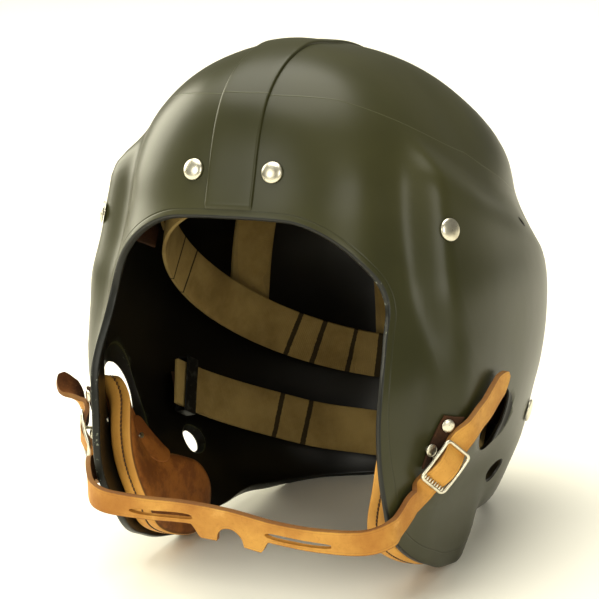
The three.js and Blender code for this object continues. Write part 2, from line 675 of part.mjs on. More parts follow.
// The sliding clip that folds round the end of the neck band
function neckClip(side) {
  const { middle, forward, normal } = neckPlace(side, CLIP.along);
  const body = new THREE.BoxGeometry(CLIP.thick, CLIP.long, CLIP.tall);
  const slot = new THREE.BoxGeometry(WEBBING.thick + CLIP.space, CLIP.long + 2,
    WEBBING.width + CLIP.space);
  const frame = new THREE.Matrix4().makeBasis(normal, forward,
    new THREE.Vector3().crossVectors(normal, forward)).setPosition(middle);
  return geometryOf(solidOf(body).subtract(solidOf(slot))).applyMatrix4(frame);
}

// The jaw pad: padded leather against the inside of the flap, crowned towards the face
function jawPad(side) {
  const forward = side > 0 ? JAW_PAD.leftForward : 0;
  const outline = new THREE.CatmullRomCurve3(
    JAW_PAD.outline.map(({ y, z }) => new THREE.Vector3(0, y - forward, z)), true, 'centripetal');
  const rim = outline.getSpacedPoints(JAW_PAD.sides).slice(0, JAW_PAD.sides);
  const middle = rim.reduce((sum, p) => sum.add(p), new THREE.Vector3()).divideScalar(rim.length);
  const skin = (p) => {
    const d = new THREE.Vector3(100, p.y, p.z);
    for (let i = 0; i < 12; i += 1) {
      d.x *= surfaceAlong(d).length() / d.length();
    }
    return d.x - (WALL + JAW_PAD.clearance) / normalAlong(d).x;
  };
  const ring = (scale, depth) => rim.map((p) => {
    const q = middle.clone().lerp(p, scale);
    return new THREE.Vector3(side * (skin(q) - depth), q.y, q.z);
  });
  const t = JAW_PAD.thick;
  const rings = [
    ring(0.4, 0), ring(0.75, 0), ring(0.95, 0.4), ring(1, t * 0.35),
    ring(0.99, t * 0.6), ring(0.9, t * 0.92), ring(0.6, t),
  ];
  const back = new THREE.Vector3(side * skin(middle), middle.y, middle.z);
  const face = new THREE.Vector3(side * (skin(middle) - t), middle.y, middle.z);
  return fitted(solidOf(loftToPoints(back, rings, face)), side * JAW_PAD.turn, JAW_PAD.height, -GAP);
}

// The chin strap's route from the wearer's left tip to the right tip
function strapRoute() {
  const row = (step, side) => {
    if ('along' in step) {
      const frame = buckleFrame(side);
      return { p: frame.place(0, step.along * frame.half, step.rise), n: frame.normal };
    }
    if ('turn' in step) {
      return { p: onShell(side * step.turn, step.height, step.out),
        n: normalAlong(direction(side * step.turn, step.height)) };
    }
    return { p: new THREE.Vector3(step.x, step.y, step.z),
      n: new THREE.Vector3(step.nx, step.ny, step.nz).normalize() };
  };
  return [...STRAP_LEFT.map((step) => row(step, 1)), ...STRAP_CHIN.map((step) => row(step, 1)),
    ...STRAP_RIGHT.map((step) => row(step, -1))];
}

// The strap's lower edge below its middle, by the distance from the middle of the chin
function strapLower(distance) {
  const d = Math.abs(distance);
  if (d < CHIN.toothEnd) {
    return CHIN.toothDepth;
  }
  const t = (d - CHIN.toothEnd) / CHIN.taper;
  return THREE.MathUtils.lerp(CHIN.toothDepth, STRAP.width / 2, ease(t));
}

function chinStrap() {
  const path = smoothPath(strapRoute(), STRAP.steps);
  const step = path.length / STRAP.steps;
  const chin = path.points.reduce((best, p, i) => (
    Math.abs(p.x) < Math.abs(path.points[best].x) && p.y < -60 ? i : best), 0);
  const tip = (i) => Math.min(1, Math.sqrt(0.12 + Math.min(i, STRAP.steps - i) * step / 9));
  const grid = ribbonGrid(path.points, path.normals, (i) => {
    const up = -STRAP.width / 2 * tip(i);
    const down = strapLower((i - chin) * step) * tip(i);
    return CHIN.lines.map((v) => THREE.MathUtils.lerp(up, down, v));
  });
  const cut = (i, j) => {
    const d = Math.abs((i + 0.5 - chin) * step);
    const slot = d > CHIN.slotStart && d < CHIN.slotEnd && j === CHIN.slotLine;
    return slot || (d < CHIN.notch && j >= CHIN.slotLine);
  };
  return sheetSolid(grid, STRAP.thick, { cut });
}

// A round rod along a path, closed on itself or with blunt ends
function tube(points, radius, sides, normal, looped) {
  const n = points.length;
  const rings = points.map((p, i) => {
    const ahead = points[looped ? (i + 1) % n : Math.min(i + 1, n - 1)];
    const behind = points[looped ? (i + n - 1) % n : Math.max(i - 1, 0)];
    const b = normal.clone().projectOnPlane(ahead.clone().sub(behind)).normalize();
    const c = new THREE.Vector3().crossVectors(ahead.clone().sub(behind).normalize(), b);
    return Array.from({ length: sides }, (_, k) => {
      const a = ((k + 0.5) / sides) * 2 * Math.PI;
      return p.clone().addScaledVector(b, Math.cos(a) * radius)
        .addScaledVector(c, Math.sin(a) * radius);
    });
  });
  if (!looped) {
    return loftToPoints(points[0], rings, points[n - 1]);
  }
  const index = [];
  for (let i = 0; i < n; i += 1) {
    for (let k = 0; k < sides; k += 1) {
      const [a, b, l] = [i * sides, ((i + 1) % n) * sides, (k + 1) % sides];
      index.push(a + k, b + k, b + l, a + k, b + l, a + l);
    }
  }
  return meshOf(rings.flat(), index);
}

// Where a buckle lies on the shell, with a point by distances across, along and off it
function buckleFrame(side) {
  const [low, high] = [BUCKLE.low, BUCKLE.high]
    .map(({ turn, height }) => onShell(side * turn, height, BUCKLE.out));
  const middle = low.clone().lerp(high, 0.5);
  const along = high.clone().sub(low).normalize();
  const normal = normalAlong(middle).projectOnPlane(along).normalize();
  const across = new THREE.Vector3().crossVectors(normal, along);
  const place = (u, v, out) => middle.clone().addScaledVector(across, u)
    .addScaledVector(along, v).addScaledVector(normal, out);
  return { along, normal, place, half: low.distanceTo(high) / 2 };
}

// A buckle: a rounded frame bowed over the strap, with a bar across under it
function buckle(side) {
  const { along, normal, place, half } = buckleFrame(side);
  const [w, l, r] = [(BUCKLE.width - BUCKLE.wire) / 2, half, BUCKLE.corner];
  const corners = [[w - r, l - r, 0], [r - w, l - r, 90], [r - w, r - l, 180], [w - r, r - l, 270]];
  const path = corners.flatMap(([u, v, from]) => [0, 45, 90].map((turn) => {
    const a = rad(from + turn);
    const rise = BUCKLE.bow * (1 - ((v + r * Math.sin(a)) / l) ** 2);
    return place(u + r * Math.cos(a), v + r * Math.sin(a), rise);
  }));
  const ring = new THREE.CatmullRomCurve3(path, true, 'centripetal').getSpacedPoints(BUCKLE.steps);
  const frame = tube(ring.slice(0, BUCKLE.steps), BUCKLE.wire / 2, 6, normal, true);
  const dip = BUCKLE.barOut - BUCKLE.out;
  const barPath = [place(-w, 0, BUCKLE.bow - 0.3), place(1.8 - w, 0, dip), place(w - 1.8, 0, dip),
    place(w, 0, BUCKLE.bow - 0.3)];
  const bar = tube(barPath, BUCKLE.bar / 2, 6, along, false);
  return geometryOf(solidOf(frame).add(solidOf(bar)));
}

// The leather tab that holds the buckle, flat on the shell and drilled for its studs
function buckleTab(side) {
  const rows = [];
  for (let i = 0; i <= 6; i += 1) {
    const height = BUCKLE_TAB.top + (BUCKLE_TAB.bottom - BUCKLE_TAB.top) * (i / 6);
    rows.push([0, 0.5, 1].map((v) => {
      const turn = side * (BUCKLE_TAB.front + (BUCKLE_TAB.back - BUCKLE_TAB.front) * v
        - i * BUCKLE_TAB.rake / 6);
      const n = normalAlong(direction(turn, height));
      return { p: onShell(turn, height, GAP + 0.3 + BUCKLE_TAB.thick / 2), n };
    }));
  }
  let solid = solidOf(sheetSolid(rows, BUCKLE_TAB.thick));
  for (const stud of STUDS) {
    solid = solid.subtract(pinHole(stud, side));
  }
  return fitted(solid, side * 60, -33, GAP);
}

const blank = solidOf(shellWall());
const helmet = new THREE.Group();

function add(name, geometry, finish) {
  const mesh = new THREE.Mesh(geometry, material(finish));
  mesh.name = name;
  helmet.add(mesh);
}

add('shell', shell(), 'shell');
for (const [name, side] of [['left', 1], ['right', -1]]) {
  for (const pin of RIVETS) {
    add(`${pin.name}_rivet_${name}`, rivet(pin, side), 'nickel');
  }
  for (const stud of STUDS) {
    add(`${stud.name}_stud_${name}`, rivet(stud, side), 'nickel');
  }
  add(`temple_tab_${name}`, templeTab(side), 'darkLeather');
  add(`neck_tab_${name}`, neckTab(side), 'darkLeather');
  add(`neck_clip_${name}`, neckClip(side), 'clip');
  add(`jaw_pad_${name}`, jawPad(side), 'leather');
  add(`buckle_tab_${name}`, buckleTab(side), 'darkLeather');
  add(`buckle_${name}`, buckle(side), 'nickel');
}
add('headband', headband(), 'webbing');
add('neck_band', neckBand(), 'webbing');
CROWN_STRAPS.forEach((row) => add(row.name, crownStrap(row), 'webbing'));
add('chin_strap', chinStrap(), 'leather');

// Lean the helmet back to rest, then stand the middle of its box on the origin
helmet.rotation.x = -rad(LEAN_BACK);
helmet.updateMatrixWorld(true);
const box = new THREE.Box3().setFromObject(helmet, true);
helmet.position.set(-(box.min.x + box.max.x) / 2, -(box.min.y + box.max.y) / 2, -box.min.z);
helmet.updateMatrixWorld(true);

export default helmet;
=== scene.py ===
"""A football helmet with a moulded shell, webbing suspension and a leather chin strap.

Sizes in the tables are millimetres in the head's frame: +X to the wearer's left, +Y to the
back, +Z up, with the origin at the head's centre. Blender's objects are in metres.
"""

import math

import bpy
import numpy as np
from mathutils import Matrix, Vector
from mathutils.kdtree import KDTree

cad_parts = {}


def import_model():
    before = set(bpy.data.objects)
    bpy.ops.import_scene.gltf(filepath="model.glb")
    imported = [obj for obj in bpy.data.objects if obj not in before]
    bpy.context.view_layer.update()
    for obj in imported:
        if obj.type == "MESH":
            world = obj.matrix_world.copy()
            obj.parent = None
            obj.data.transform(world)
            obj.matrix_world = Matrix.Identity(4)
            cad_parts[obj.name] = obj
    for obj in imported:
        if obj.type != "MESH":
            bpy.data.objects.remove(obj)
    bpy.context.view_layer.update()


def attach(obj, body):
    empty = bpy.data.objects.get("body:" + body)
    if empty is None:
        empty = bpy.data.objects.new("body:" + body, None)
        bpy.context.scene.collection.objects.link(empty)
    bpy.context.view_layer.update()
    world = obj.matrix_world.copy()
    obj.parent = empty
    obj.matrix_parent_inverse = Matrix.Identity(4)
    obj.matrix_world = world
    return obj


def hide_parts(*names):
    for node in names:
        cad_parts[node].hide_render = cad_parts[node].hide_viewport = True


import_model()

bl_info = {
    "name": "Football Helmet",
    "version": (1, 0, 0),
    "blender": (4, 5, 0),
    "location": "View3D > Sidebar > Helmet",
    "description": "Builds a football helmet with webbing, pads, chin strap and buckles",
    "category": "Add Mesh",
}

# ------------------------------------------------------------------ sizes in millimetres

# how the head's frame stands in the shared frame
LEAN_BACK = math.radians(11)
PLACE = (3.918, -8.841, 143.054)

WALL = 4.0
# points nearer than this in metres are merged
MERGE = 0.00001
SIDES = (("left", 1), ("right", -1))
# where the rows of the shell's mesh meet: turn and height angle
CROWN_BACK = (180, 45)

# height angle; radius in front, at the side and behind; the plan's squareness before and behind
SHELL_SECTIONS = np.array([
    (-70, 176, 186, 178, 4.0, 2.0),
    (-60, 171, 158, 172, 4.0, 1.7),
    (-50, 158, 133, 166, 3.8, 2.5),
    (-40, 154, 122.5, 153, 3.3, 2.3),
    (-30, 147, 114, 146, 2.75, 1.95),
    (-20, 138, 107, 142.5, 2.6, 2.1),
    (-10, 125, 101.5, 141, 2.4, 2.3),
    (0, 115, 98.5, 139, 2.4, 2.4),
    (10, 110.5, 96, 136, 2.4, 2.4),
    (20, 107.5, 97.5, 132, 2.5, 2.5),
    (30, 111, 101.5, 129, 2.6, 2.6),
    (50, 125.5, 109.5, 122, 2.3, 2.3),
    (70, 126.5, 119, 120, 2.0, 2.0),
    (90, 120, 120, 120, 2.0, 2.0),
])
BULGE = {
    "rise": 12, "top_front": 36, "top_drop": 20, "top_width": 18, "front": 56.5,
    "front_lean": 3, "front_width": 12, "back": 165, "back_width": 50, "bottom": -58,
    "bottom_width": 30,
}
VALLEY = {"deep": 2.7, "turn": 47.5, "width": 6, "top": 45, "bottom": -25}
LOBE = {"rise": 6, "top": -48, "front": 30, "back": 112}
# turn from the front and height angle, in degrees, of the opening's edge
RIM = [
    (0, 19.5), (12, 19.1), (20, 18.1), (28.4, 14.6), (37.3, 8), (43, 2), (44.6, -3.5),
    (43, -10.9), (41.2, -19), (40.5, -27), (41.2, -35), (43.5, -42), (46.6, -47.6),
    (50, -50.3), (54, -52.4), (59, -54.4), (65, -56.4), (73, -58.9), (80, -60.2),
    (88, -60.9), (96, -60.7), (103, -60.5), (109, -60.4), (115, -60), (120, -59.2),
    (125, -58.2), (133, -56.2), (145, -52), (155, -49.9), (168, -49), (180, -48.8),
]
# turn and height angle of the mould's parting line
PARTING = np.array([
    (6, 49.5), (32.7, 48.5), (55.6, 44.7), (90.5, 38.7), (106.6, 31.3), (122.1, 23.7), (150, 15),
    (181, 12),
])
EAR_HOLE = {1: 83.5, -1: 77, "height": -32, "across": 27, "tall": 36, "flare": 3}
VENT = {"turn": 111.4, "height": 15, "across": 5}
PAD_HOLE = {1: 109, -1: 105.5, "height": -47.2, "across": 14, "tall": 12.5, "flare": 3.5}
# grip: from under a rivet's head to its inner flange; out: a stud's height off the shell
RIVETS = {
    "forehead": {"turn": 12.9, "height": 31, "across": 11, "dome": 2.6, "grip": 18},
    "temple": {"turn": 61.8, "height": 15.6, "across": 11.5, "dome": 2.2, "grip": 9.6},
    "rear": {"turn": 114.5, "height": -32.6, "across": 12, "dome": 2.0, "grip": 9.6},
}
STUDS = {
    "upper": {"turn": 59.8, "height": -29.1, "across": 6.6, "dome": 1.3, "out": 2.6},
    "lower": {"turn": 55.3, "height": -34.1, "across": 6.4, "dome": 1.2, "out": 2.6},
}
HEADBAND = {
    "half_width": 80, "half_length": 99.5, "back": 14, "middle": -3, "slope": 55, "dip": 5,
    "lean": 0.12,
}
# half of the neck band's middle line: x, y, z
NECK_BAND = [
    (88, 8, -64), (84, 28, -72), (76, 49, -80), (62, 74, -89), (44, 92, -96), (21, 101, -99),
    (0, 103, -100),
]
CROWN = {"top": 84, "spacing": 3.1, "outside": 3.2, "foot": 4, "lift": 12, "slack": 1}
# angle across the crown, and the layer where the straps cross
CROWN_STRAPS = {
    "crown_strap_middle": (184, 0), "crown_strap_right": (-119, 1), "crown_strap_left": (119, 2),
}
# a jaw pad's outline in the side view: y, z
JAW_PAD = [
    (-55, -54), (-61, -62), (-67, -78), (-68, -95), (-65, -112), (-55, -128), (-36, -138),
    (-12, -142), (5, -136), (12, -120), (2, -107), (-16, -100), (-34, -95), (-43, -86),
    (-45, -72), (-47, -58),
]
PAD_FORWARD = {1: 9, -1: 0}
# the chin strap in a buckle: share of the buckle's half height, and how far off its plane
THROUGH_BUCKLE = [
    (1.3, -3.4), (1, -3.1), (0.45, 0), (0, 1), (-0.45, -0.2), (-1, -3.5), (-1.25, -4.1),
]
# the chin strap on the shell: turn, height angle, distance out
STRAP_LEFT_TIP = [
    (80.3, -20.6, 4.6), (77.4, -22.4, 4.2), (74, -24.6, 4), (71.2, -26.5, 4), (67.8, -28, 4),
    (65, -29.4, 4.3),
]
STRAP_LEFT_CHEEK = [
    (51, -41.6, 3.6), (49.6, -41.9, 3.4), (48, -43.2, 3.3), (46, -44.5, 3.3),
]
STRAP_RIGHT_CHEEK = [(47, -40, 3.6), (51.2, -42, 3.6)]
STRAP_RIGHT_RISE = [(63.4, -30.7, 5.8)]
# the chin strap off the shell: a point, then its outward way
STRAP_CHIN = [
    (82.5, -86, -116.5, 0.75, -0.65, -0.1), (74, -92, -120, 0.35, -0.92, -0.2),
    (50, -95, -121, 0.1, -0.92, -0.35), (25, -96, -119, 0, -0.9, -0.42),
    (0, -96, -115, 0, -0.9, -0.42), (-25, -96, -113, 0, -0.9, -0.42),
    (-50, -96, -113, -0.05, -0.92, -0.35), (-73, -96.5, -111, -0.3, -0.92, -0.2),
    (-82.5, -91, -107.5, -0.75, -0.65, -0.1),
]
STRAP_RIGHT_TIP = [
    (-114.8, -53.8, -65, -0.95, 0.15, -0.3), (-119.5, -53.8, -60.5, -0.85, 0.5, -0.2),
    (-123, -53.7, -55, -0.65, 0.75, -0.1),
]
# the chin part's lower edge and its slots, by distance from the chin's middle
CHIN = {"deep": 14, "notch": 9.1, "notch_half": 8.2, "teeth_middle": 12, "teeth_end": 17.6,
        "fall": 5.0}
SLOT = {"middle": 38.8, "half": 18.2, "open": 1.75, "above": 2.1, "column": 5}
BUCKLE = {
    "low": (53.2, -39.5), "high": (61.8, -32.7), "out": 7.7, "width": 17.6, "wire": 1.8,
    "corner": 2.2, "bow": 0.7, "bar_dip": -3.0,
}
BUCKLE_TAB = {"turn": 58.9, "wide": 4.9, "rake": 5.8, "top": -27.2, "tall": 10, "out": 1.45}
CLIP_SIZE = (0.0064, 0.010, 0.031)

# the camera: turn and rise over the head's frame, roll, distance and its aim in millimetres
CAMERA = {"turn": 26.4, "rise": 6.4, "roll": -0.5, "far": 1512, "aim": (9.08, 14.05)}
LENS_OVER_FRAME = 2900 / 599
WARM = (1, 0.975, 0.86)
# name, place and aim in metres, size, watts and colour
LIGHTS = (
    ("Overhead", (-0.2, 0.25, 2.3), (0, 0.1, 0.0), 2.8, 86, WARM),
    ("Left_sheet", (-1.5, 0.25, 0.75), (0, 0, 0.13), 1.2, 28, (1, 0.96, 0.76)),
    ("Right_lamp", (1.35, -1.25, 0.8), (0, 0, 0.13), 0.95, 10, WARM),
    ("Front_sheet", (-0.6, -2.2, 1.1), (0, 0, 0.1), 1.4, 19, WARM),
)

# ------------------------------------------------------------------ the shell's surface


def ease(t):
    """0 below 0, 1 above 1, and smooth between."""
    t = np.clip(t, 0, 1)
    return t * t * (3 - 2 * t)


def section(column, height):
    """A column of the section table at each height angle, carried smoothly over the crown."""
    x = SHELL_SECTIONS[:, 0]
    y = SHELL_SECTIONS[:, column]
    x = np.concatenate(([x[0] - 10], x, [180 - x[-2]]))
    y = np.concatenate(([y[0]], y, [y[-2]]))
    i = np.clip(np.searchsorted(x, height) - 1, 1, len(x) - 3)
    h = x[i + 1] - x[i]
    before = (y[i + 1] - y[i - 1]) / (x[i + 1] - x[i - 1])
    after = (y[i + 2] - y[i]) / (x[i + 2] - x[i])
    t = np.clip((height - x[i]) / h, 0, 1)
    return ((2 * t**3 - 3 * t**2 + 1) * y[i] + (t**3 - 2 * t**2 + t) * h * before
            + (3 * t**2 - 2 * t**3) * y[i + 1] + (t**3 - t**2) * h * after)


def bulge_rise(turn, height):
    """How far the ear bulge stands out of the plain shell."""
    top = BULGE["top_front"] - BULGE["top_drop"] * np.clip((turn - 55) / 60, -0.2, 1.2)
    front = BULGE["front"] + BULGE["front_lean"] * ease((5 - height) / 25)
    return (BULGE["rise"] * ease((top - height) / BULGE["top_width"] + 0.5)
            * ease((turn - front) / BULGE["front_width"] + 0.5)
            * ease((BULGE["back"] - turn) / BULGE["back_width"])
            * ease((height - BULGE["bottom"]) / BULGE["bottom_width"]))


def shell_radius(turn, height):
    """Distance from the head's centre to the outside of the shell."""
    t = np.abs((turn + 180) % 360 - 180)
    fore = t < 90
    end = np.where(fore, section(1, height), section(3, height))
    square = np.where(fore, section(4, height), section(5, height))
    c = np.abs(np.cos(np.radians(t)))
    s = np.abs(np.sin(np.radians(t)))
    plan = ((c / end) ** square + (s / section(2, height)) ** square) ** (-1 / square)
    valley = (VALLEY["deep"] * np.exp(-(((t - VALLEY["turn"]) / VALLEY["width"]) ** 2))
              * ease((VALLEY["top"] - height) / 20) * ease((height - VALLEY["bottom"]) / 25))
    lobe = (LOBE["rise"] * ease((LOBE["top"] - height) / 10) * ease((LOBE["back"] - t) / 14)
            * ease((t - LOBE["front"]) / 20))
    return plan + bulge_rise(t, height) - valley + lobe


def unit(v):
    return v / np.linalg.norm(v, axis=-1, keepdims=True)


def towards(turn, height):
    """The unit way at a turn from the front and a height angle, in degrees."""
    t, h = np.radians(turn), np.radians(height)
    return np.stack([np.cos(h) * np.sin(t), -np.cos(h) * np.cos(t), np.sin(h) + 0 * t], -1)


def angles_of(d):
    """The turn and the height angle of a way."""
    d = unit(d)
    return (np.degrees(np.arctan2(d[..., 0], -d[..., 1])),
            np.degrees(np.arcsin(np.clip(d[..., 2], -1, 1))))


def on_surface(d):
    """The point of the shell's outside on the way d from the centre."""
    turn, height = angles_of(d)
    return unit(d) * shell_radius(turn, height)[..., None]


def surface_normal(d):
    """The outward normal of the shell's outside on the way d."""
    d = unit(d)
    seed = np.where(np.abs(d[..., 2:3]) < 0.9, np.array([0.0, 0, 1]), np.array([1.0, 0, 0]))
    u = unit(np.cross(seed, d))
    v = np.cross(d, u)
    du = on_surface(d + 0.01 * u) - on_surface(d - 0.01 * u)
    dv = on_surface(d + 0.01 * v) - on_surface(d - 0.01 * v)
    return unit(np.cross(du, dv))


def on_shell(turn, height, out=0.0):
    """A point on the shell, or a distance out from it."""
    d = towards(np.asarray(turn, float), np.asarray(height, float))
    return on_surface(d) + surface_normal(d) * out


def normal_at(turn, height):
    return surface_normal(towards(np.asarray(turn, float), np.asarray(height, float)))


def world(points):
    """Head-frame millimetres to the helmet's resting place in metres."""
    p = np.atleast_2d(np.asarray(points, float))
    return world_way(p) * 0.001 + np.array(PLACE) * 0.001


def world_way(vectors):
    v = np.atleast_2d(np.asarray(vectors, float))
    c, s = math.cos(LEAN_BACK), math.sin(LEAN_BACK)
    return np.stack([v[:, 0], v[:, 1] * c + v[:, 2] * s, -v[:, 1] * s + v[:, 2] * c], -1)


# ------------------------------------------------------------------ smooth routes


def spline(points, steps):
    """A centripetal curve through the points, as a fine list of places."""
    p = np.asarray(points, float)
    p = np.vstack([2 * p[0] - p[1], p, 2 * p[-1] - p[-2]])
    out = []
    for i in range(1, len(p) - 2):
        x0, x1, x2, x3 = p[i - 1:i + 3]
        d0, d1, d2 = [max(np.linalg.norm(b - a) ** 0.5, 1e-4)
                      for a, b in ((x0, x1), (x1, x2), (x2, x3))]
        t1 = ((x1 - x0) / d0 - (x2 - x0) / (d0 + d1) + (x2 - x1) / d1) * d1
        t2 = ((x2 - x1) / d1 - (x3 - x1) / (d1 + d2) + (x3 - x2) / d2) * d1
        for k in range(steps):
            t = k / steps
            out.append(x1 + t1 * t + (3 * x2 - 3 * x1 - 2 * t1 - t2) * t * t
                       + (2 * x1 - 2 * x2 + t1 + t2) * t**3)
    out.append(p[-2])
    return np.array(out)


def distances(points):
    """How far along its line each point lies."""
    return np.concatenate(([0], np.cumsum(np.linalg.norm(np.diff(points, axis=0), axis=1))))


def picked(rows, run, places):
    """Rows of three numbers, known at the distances in run, at other distances."""
    return np.stack([np.interp(places, run, rows[:, k]) for k in range(3)], -1)


def even_loop(loop, count):
    """Evenly spaced points on a closed line."""
    closed = np.vstack([loop, loop[:1]])
    run = distances(closed)
    return picked(closed, run, np.arange(count) / count * run[-1])


def smooth_route(rows, spacing):
    """Evenly spaced points and normals along a route of (point, normal) rows."""
    line = spline([r[0] for r in rows], 24)
    normals = spline([r[1] for r in rows], 24)
    run = distances(line)
    places = np.linspace(0, run[-1], max(2, round(run[-1] / spacing)) + 1)
    return picked(line, run, places), unit(picked(normals, run, places)), places


def heading(points, looped=False):
    """Unit ways along a route."""
    if looped:
        return unit(np.roll(points, -1, 0) - np.roll(points, 1, 0))
    return unit(np.gradient(points, axis=0))


def ribbon_frames(points, normals, looped=False):
    """Unit ways across and off a ribbon at each of its points."""
    along = heading(points, looped)
    off = unit(normals - along * (normals * along).sum(-1, keepdims=True))
    return np.cross(off, along), off


# ------------------------------------------------------------------ mesh tools


def deselect():
    if bpy.context.object and bpy.context.object.mode != "OBJECT":
        bpy.ops.object.mode_set(mode="OBJECT")
    bpy.ops.object.select_all(action="DESELECT")


def only(obj):
    """Make a piece the only one selected, and the active one."""
    deselect()
    obj.select_set(True)
    bpy.context.view_layer.objects.active = obj
    return obj


def named(name):
    """The object that an operator has just added, renamed."""
    obj = bpy.context.object
    obj.name = name
    obj.data.name = name
    return obj


def mesh_from(name, verts, faces):
    mesh = bpy.data.meshes.new(name)
    mesh.from_pydata([tuple(v) for v in verts], [], faces)
    obj = bpy.data.objects.new(name, mesh)
    bpy.context.scene.collection.objects.link(obj)
    return obj


def loft(name, first, rings, last):
    """A closed skin from a point over rings of points to another point."""
    count = len(rings[0])
    places = np.vstack([[first], np.reshape(rings, (-1, 3)), [last]])
    faces = [(0, 1 + k, 1 + (k + 1) % count) for k in range(count)]
    for r in range(len(rings) - 1):
        a = 1 + r * count
        faces += [(a + k, a + count + k, a + count + (k + 1) % count, a + (k + 1) % count)
                  for k in range(count)]
    a, end = 1 + (len(rings) - 1) * count, len(places) - 1
    faces += [(a + k, end, a + (k + 1) % count) for k in range(count)]
    return mesh_from(name, world(places), faces), places


def set_mark(obj, name, values):
    """Store a value at each vertex for a material to read."""
    layer = obj.data.attributes.new(name, "FLOAT", "POINT")
    layer.data.foreach_set("value", np.asarray(values, np.float32).ravel())


def edit_all(obj, operator, **settings):
    """Run a mesh operator on the whole of a piece."""
    only(obj)
    bpy.ops.object.mode_set(mode="EDIT")
    bpy.ops.mesh.select_all(action="SELECT")
    operator(**settings)
    bpy.ops.object.mode_set(mode="OBJECT")
    return obj


def tidy(obj):
    """Merge doubles and turn every face outwards."""
    edit_all(obj, bpy.ops.mesh.remove_doubles, threshold=MERGE)
    return edit_all(obj, bpy.ops.mesh.normals_make_consistent, inside=False)


def delete_faces(obj, chosen):
    """Take out the faces for which chosen gives true."""
    only(obj)
    bpy.ops.object.mode_set(mode="EDIT")
    bpy.ops.mesh.select_mode(type="FACE")
    bpy.ops.mesh.select_all(action="DESELECT")
    bpy.ops.object.mode_set(mode="OBJECT")
    for face in obj.data.polygons:
        face.select = bool(chosen(face))
    bpy.ops.object.mode_set(mode="EDIT")
    bpy.ops.mesh.delete(type="FACE")
    bpy.ops.object.mode_set(mode="OBJECT")


def apply_modifier(obj, kind, **settings):
    only(obj)
    mod = obj.modifiers.new(kind.lower(), kind)
    for key, value in settings.items():
        setattr(mod, key, value)
    bpy.ops.object.modifier_apply(modifier=mod.name)
    return obj


def smooth(obj, angle=35):
    only(obj)
    bpy.ops.object.shade_smooth_by_angle(angle=math.radians(angle))
    return obj


def frame_matrix(origin, x, y, z):
    """Metres-to-world matrix of a piece modelled flat at the origin."""
    m = Matrix.Identity(4)
    for k, way in enumerate((x, y, z)):
        v = world_way(way)[0]
        for r in range(3):
            m[r][k] = v[r]
    m.translation = Vector(world(origin)[0])
    return m


def put(obj, matrix):
    """Move a flat-modelled piece to its place, with the place in its mesh."""
    obj.data.transform(matrix)
    if matrix.determinant() < 0:
        obj.data.flip_normals()
    obj.data.update()
    return obj


def shell_frame(side, turn, height, out=0.0):
    """A frame on the shell with Z along its outward normal and Y upwards."""
    origin = on_shell(side * turn, height, out)
    z = normal_at(side * turn, height)
    y = unit(np.array([0, 0, 1.0]) - z * z[2])
    return frame_matrix(origin, np.cross(y, z), y, z)


def finish_piece(obj, slot, *nodes, materials=()):
    """Give a piece its materials, its body and the CAD nodes that it replaces; the slot is not
    used.
    """
    for material in materials:
        obj.data.materials.append(material)
    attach(obj, "root")
    if nodes:
        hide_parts(*nodes)
    return obj


def thicken(obj, thickness, eased, segments=2, limit=50, **settings):
    """Give a sheet its thickness and ease its edges, both in metres."""
    apply_modifier(obj, "SOLIDIFY", thickness=thickness, **settings)
    return apply_modifier(obj, "BEVEL", width=eased, segments=segments, limit_method="ANGLE",
                          angle_limit=math.radians(limit))


def bent_grid(name, places, outward):
    """A grid primitive bent to rows of points, facing outward at its middle."""
    rows, columns = places.shape[:2]
    bpy.ops.mesh.primitive_grid_add(x_subdivisions=columns - 1, y_subdivisions=rows - 1, size=2)
    obj = named(name)
    obj.data.vertices.foreach_set("co", world(places.reshape(-1, 3)).ravel())
    face = obj.data.polygons[len(obj.data.polygons) // 2]
    if Vector(world_way(outward)[0]).dot(face.normal) < 0:
        obj.data.flip_normals()
    return obj


def band(name, places, outward, thick, looped=False):
    """A webbing or leather band on rows of points, with UVs in millimetres."""
    columns = places.shape[1]
    obj = bent_grid(name, places, outward)
    middle = columns // 2
    run = distances(places[:, middle])
    wide = np.linalg.norm(places - places[:, middle:middle + 1], axis=2)
    wide[:, :middle] *= -1
    uv = obj.data.uv_layers.active.data
    for loop in obj.data.loops:
        row, column = divmod(loop.vertex_index, columns)
        uv[loop.index].uv = (run[row], wide[row, column])
    if looped:
        edit_all(obj, bpy.ops.mesh.remove_doubles, threshold=MERGE)
    return smooth(thicken(obj, thick * 0.001, 0.0003, offset=0), 40)


def sized(add, name, scale, **settings):
    """A primitive with its scale kept in its mesh."""
    add(scale=scale, **settings)
    obj = named(name)
    bpy.ops.object.transform_apply(location=False, rotation=False, scale=True)
    return obj


def ribbon(name, points, normals, width, thick, looped=False):
    """A band with its middle on a route."""
    sideways, off = ribbon_frames(points, normals, looped)
    across = np.linspace(-0.5, 0.5, 5) * width
    places = points[:, None] + sideways[:, None] * across[None, :, None]
    if looped:
        places = np.vstack([places, places[:1]])
    return band(name, places, off[len(points) // 2], thick, looped)


# ------------------------------------------------------------------ shader tools


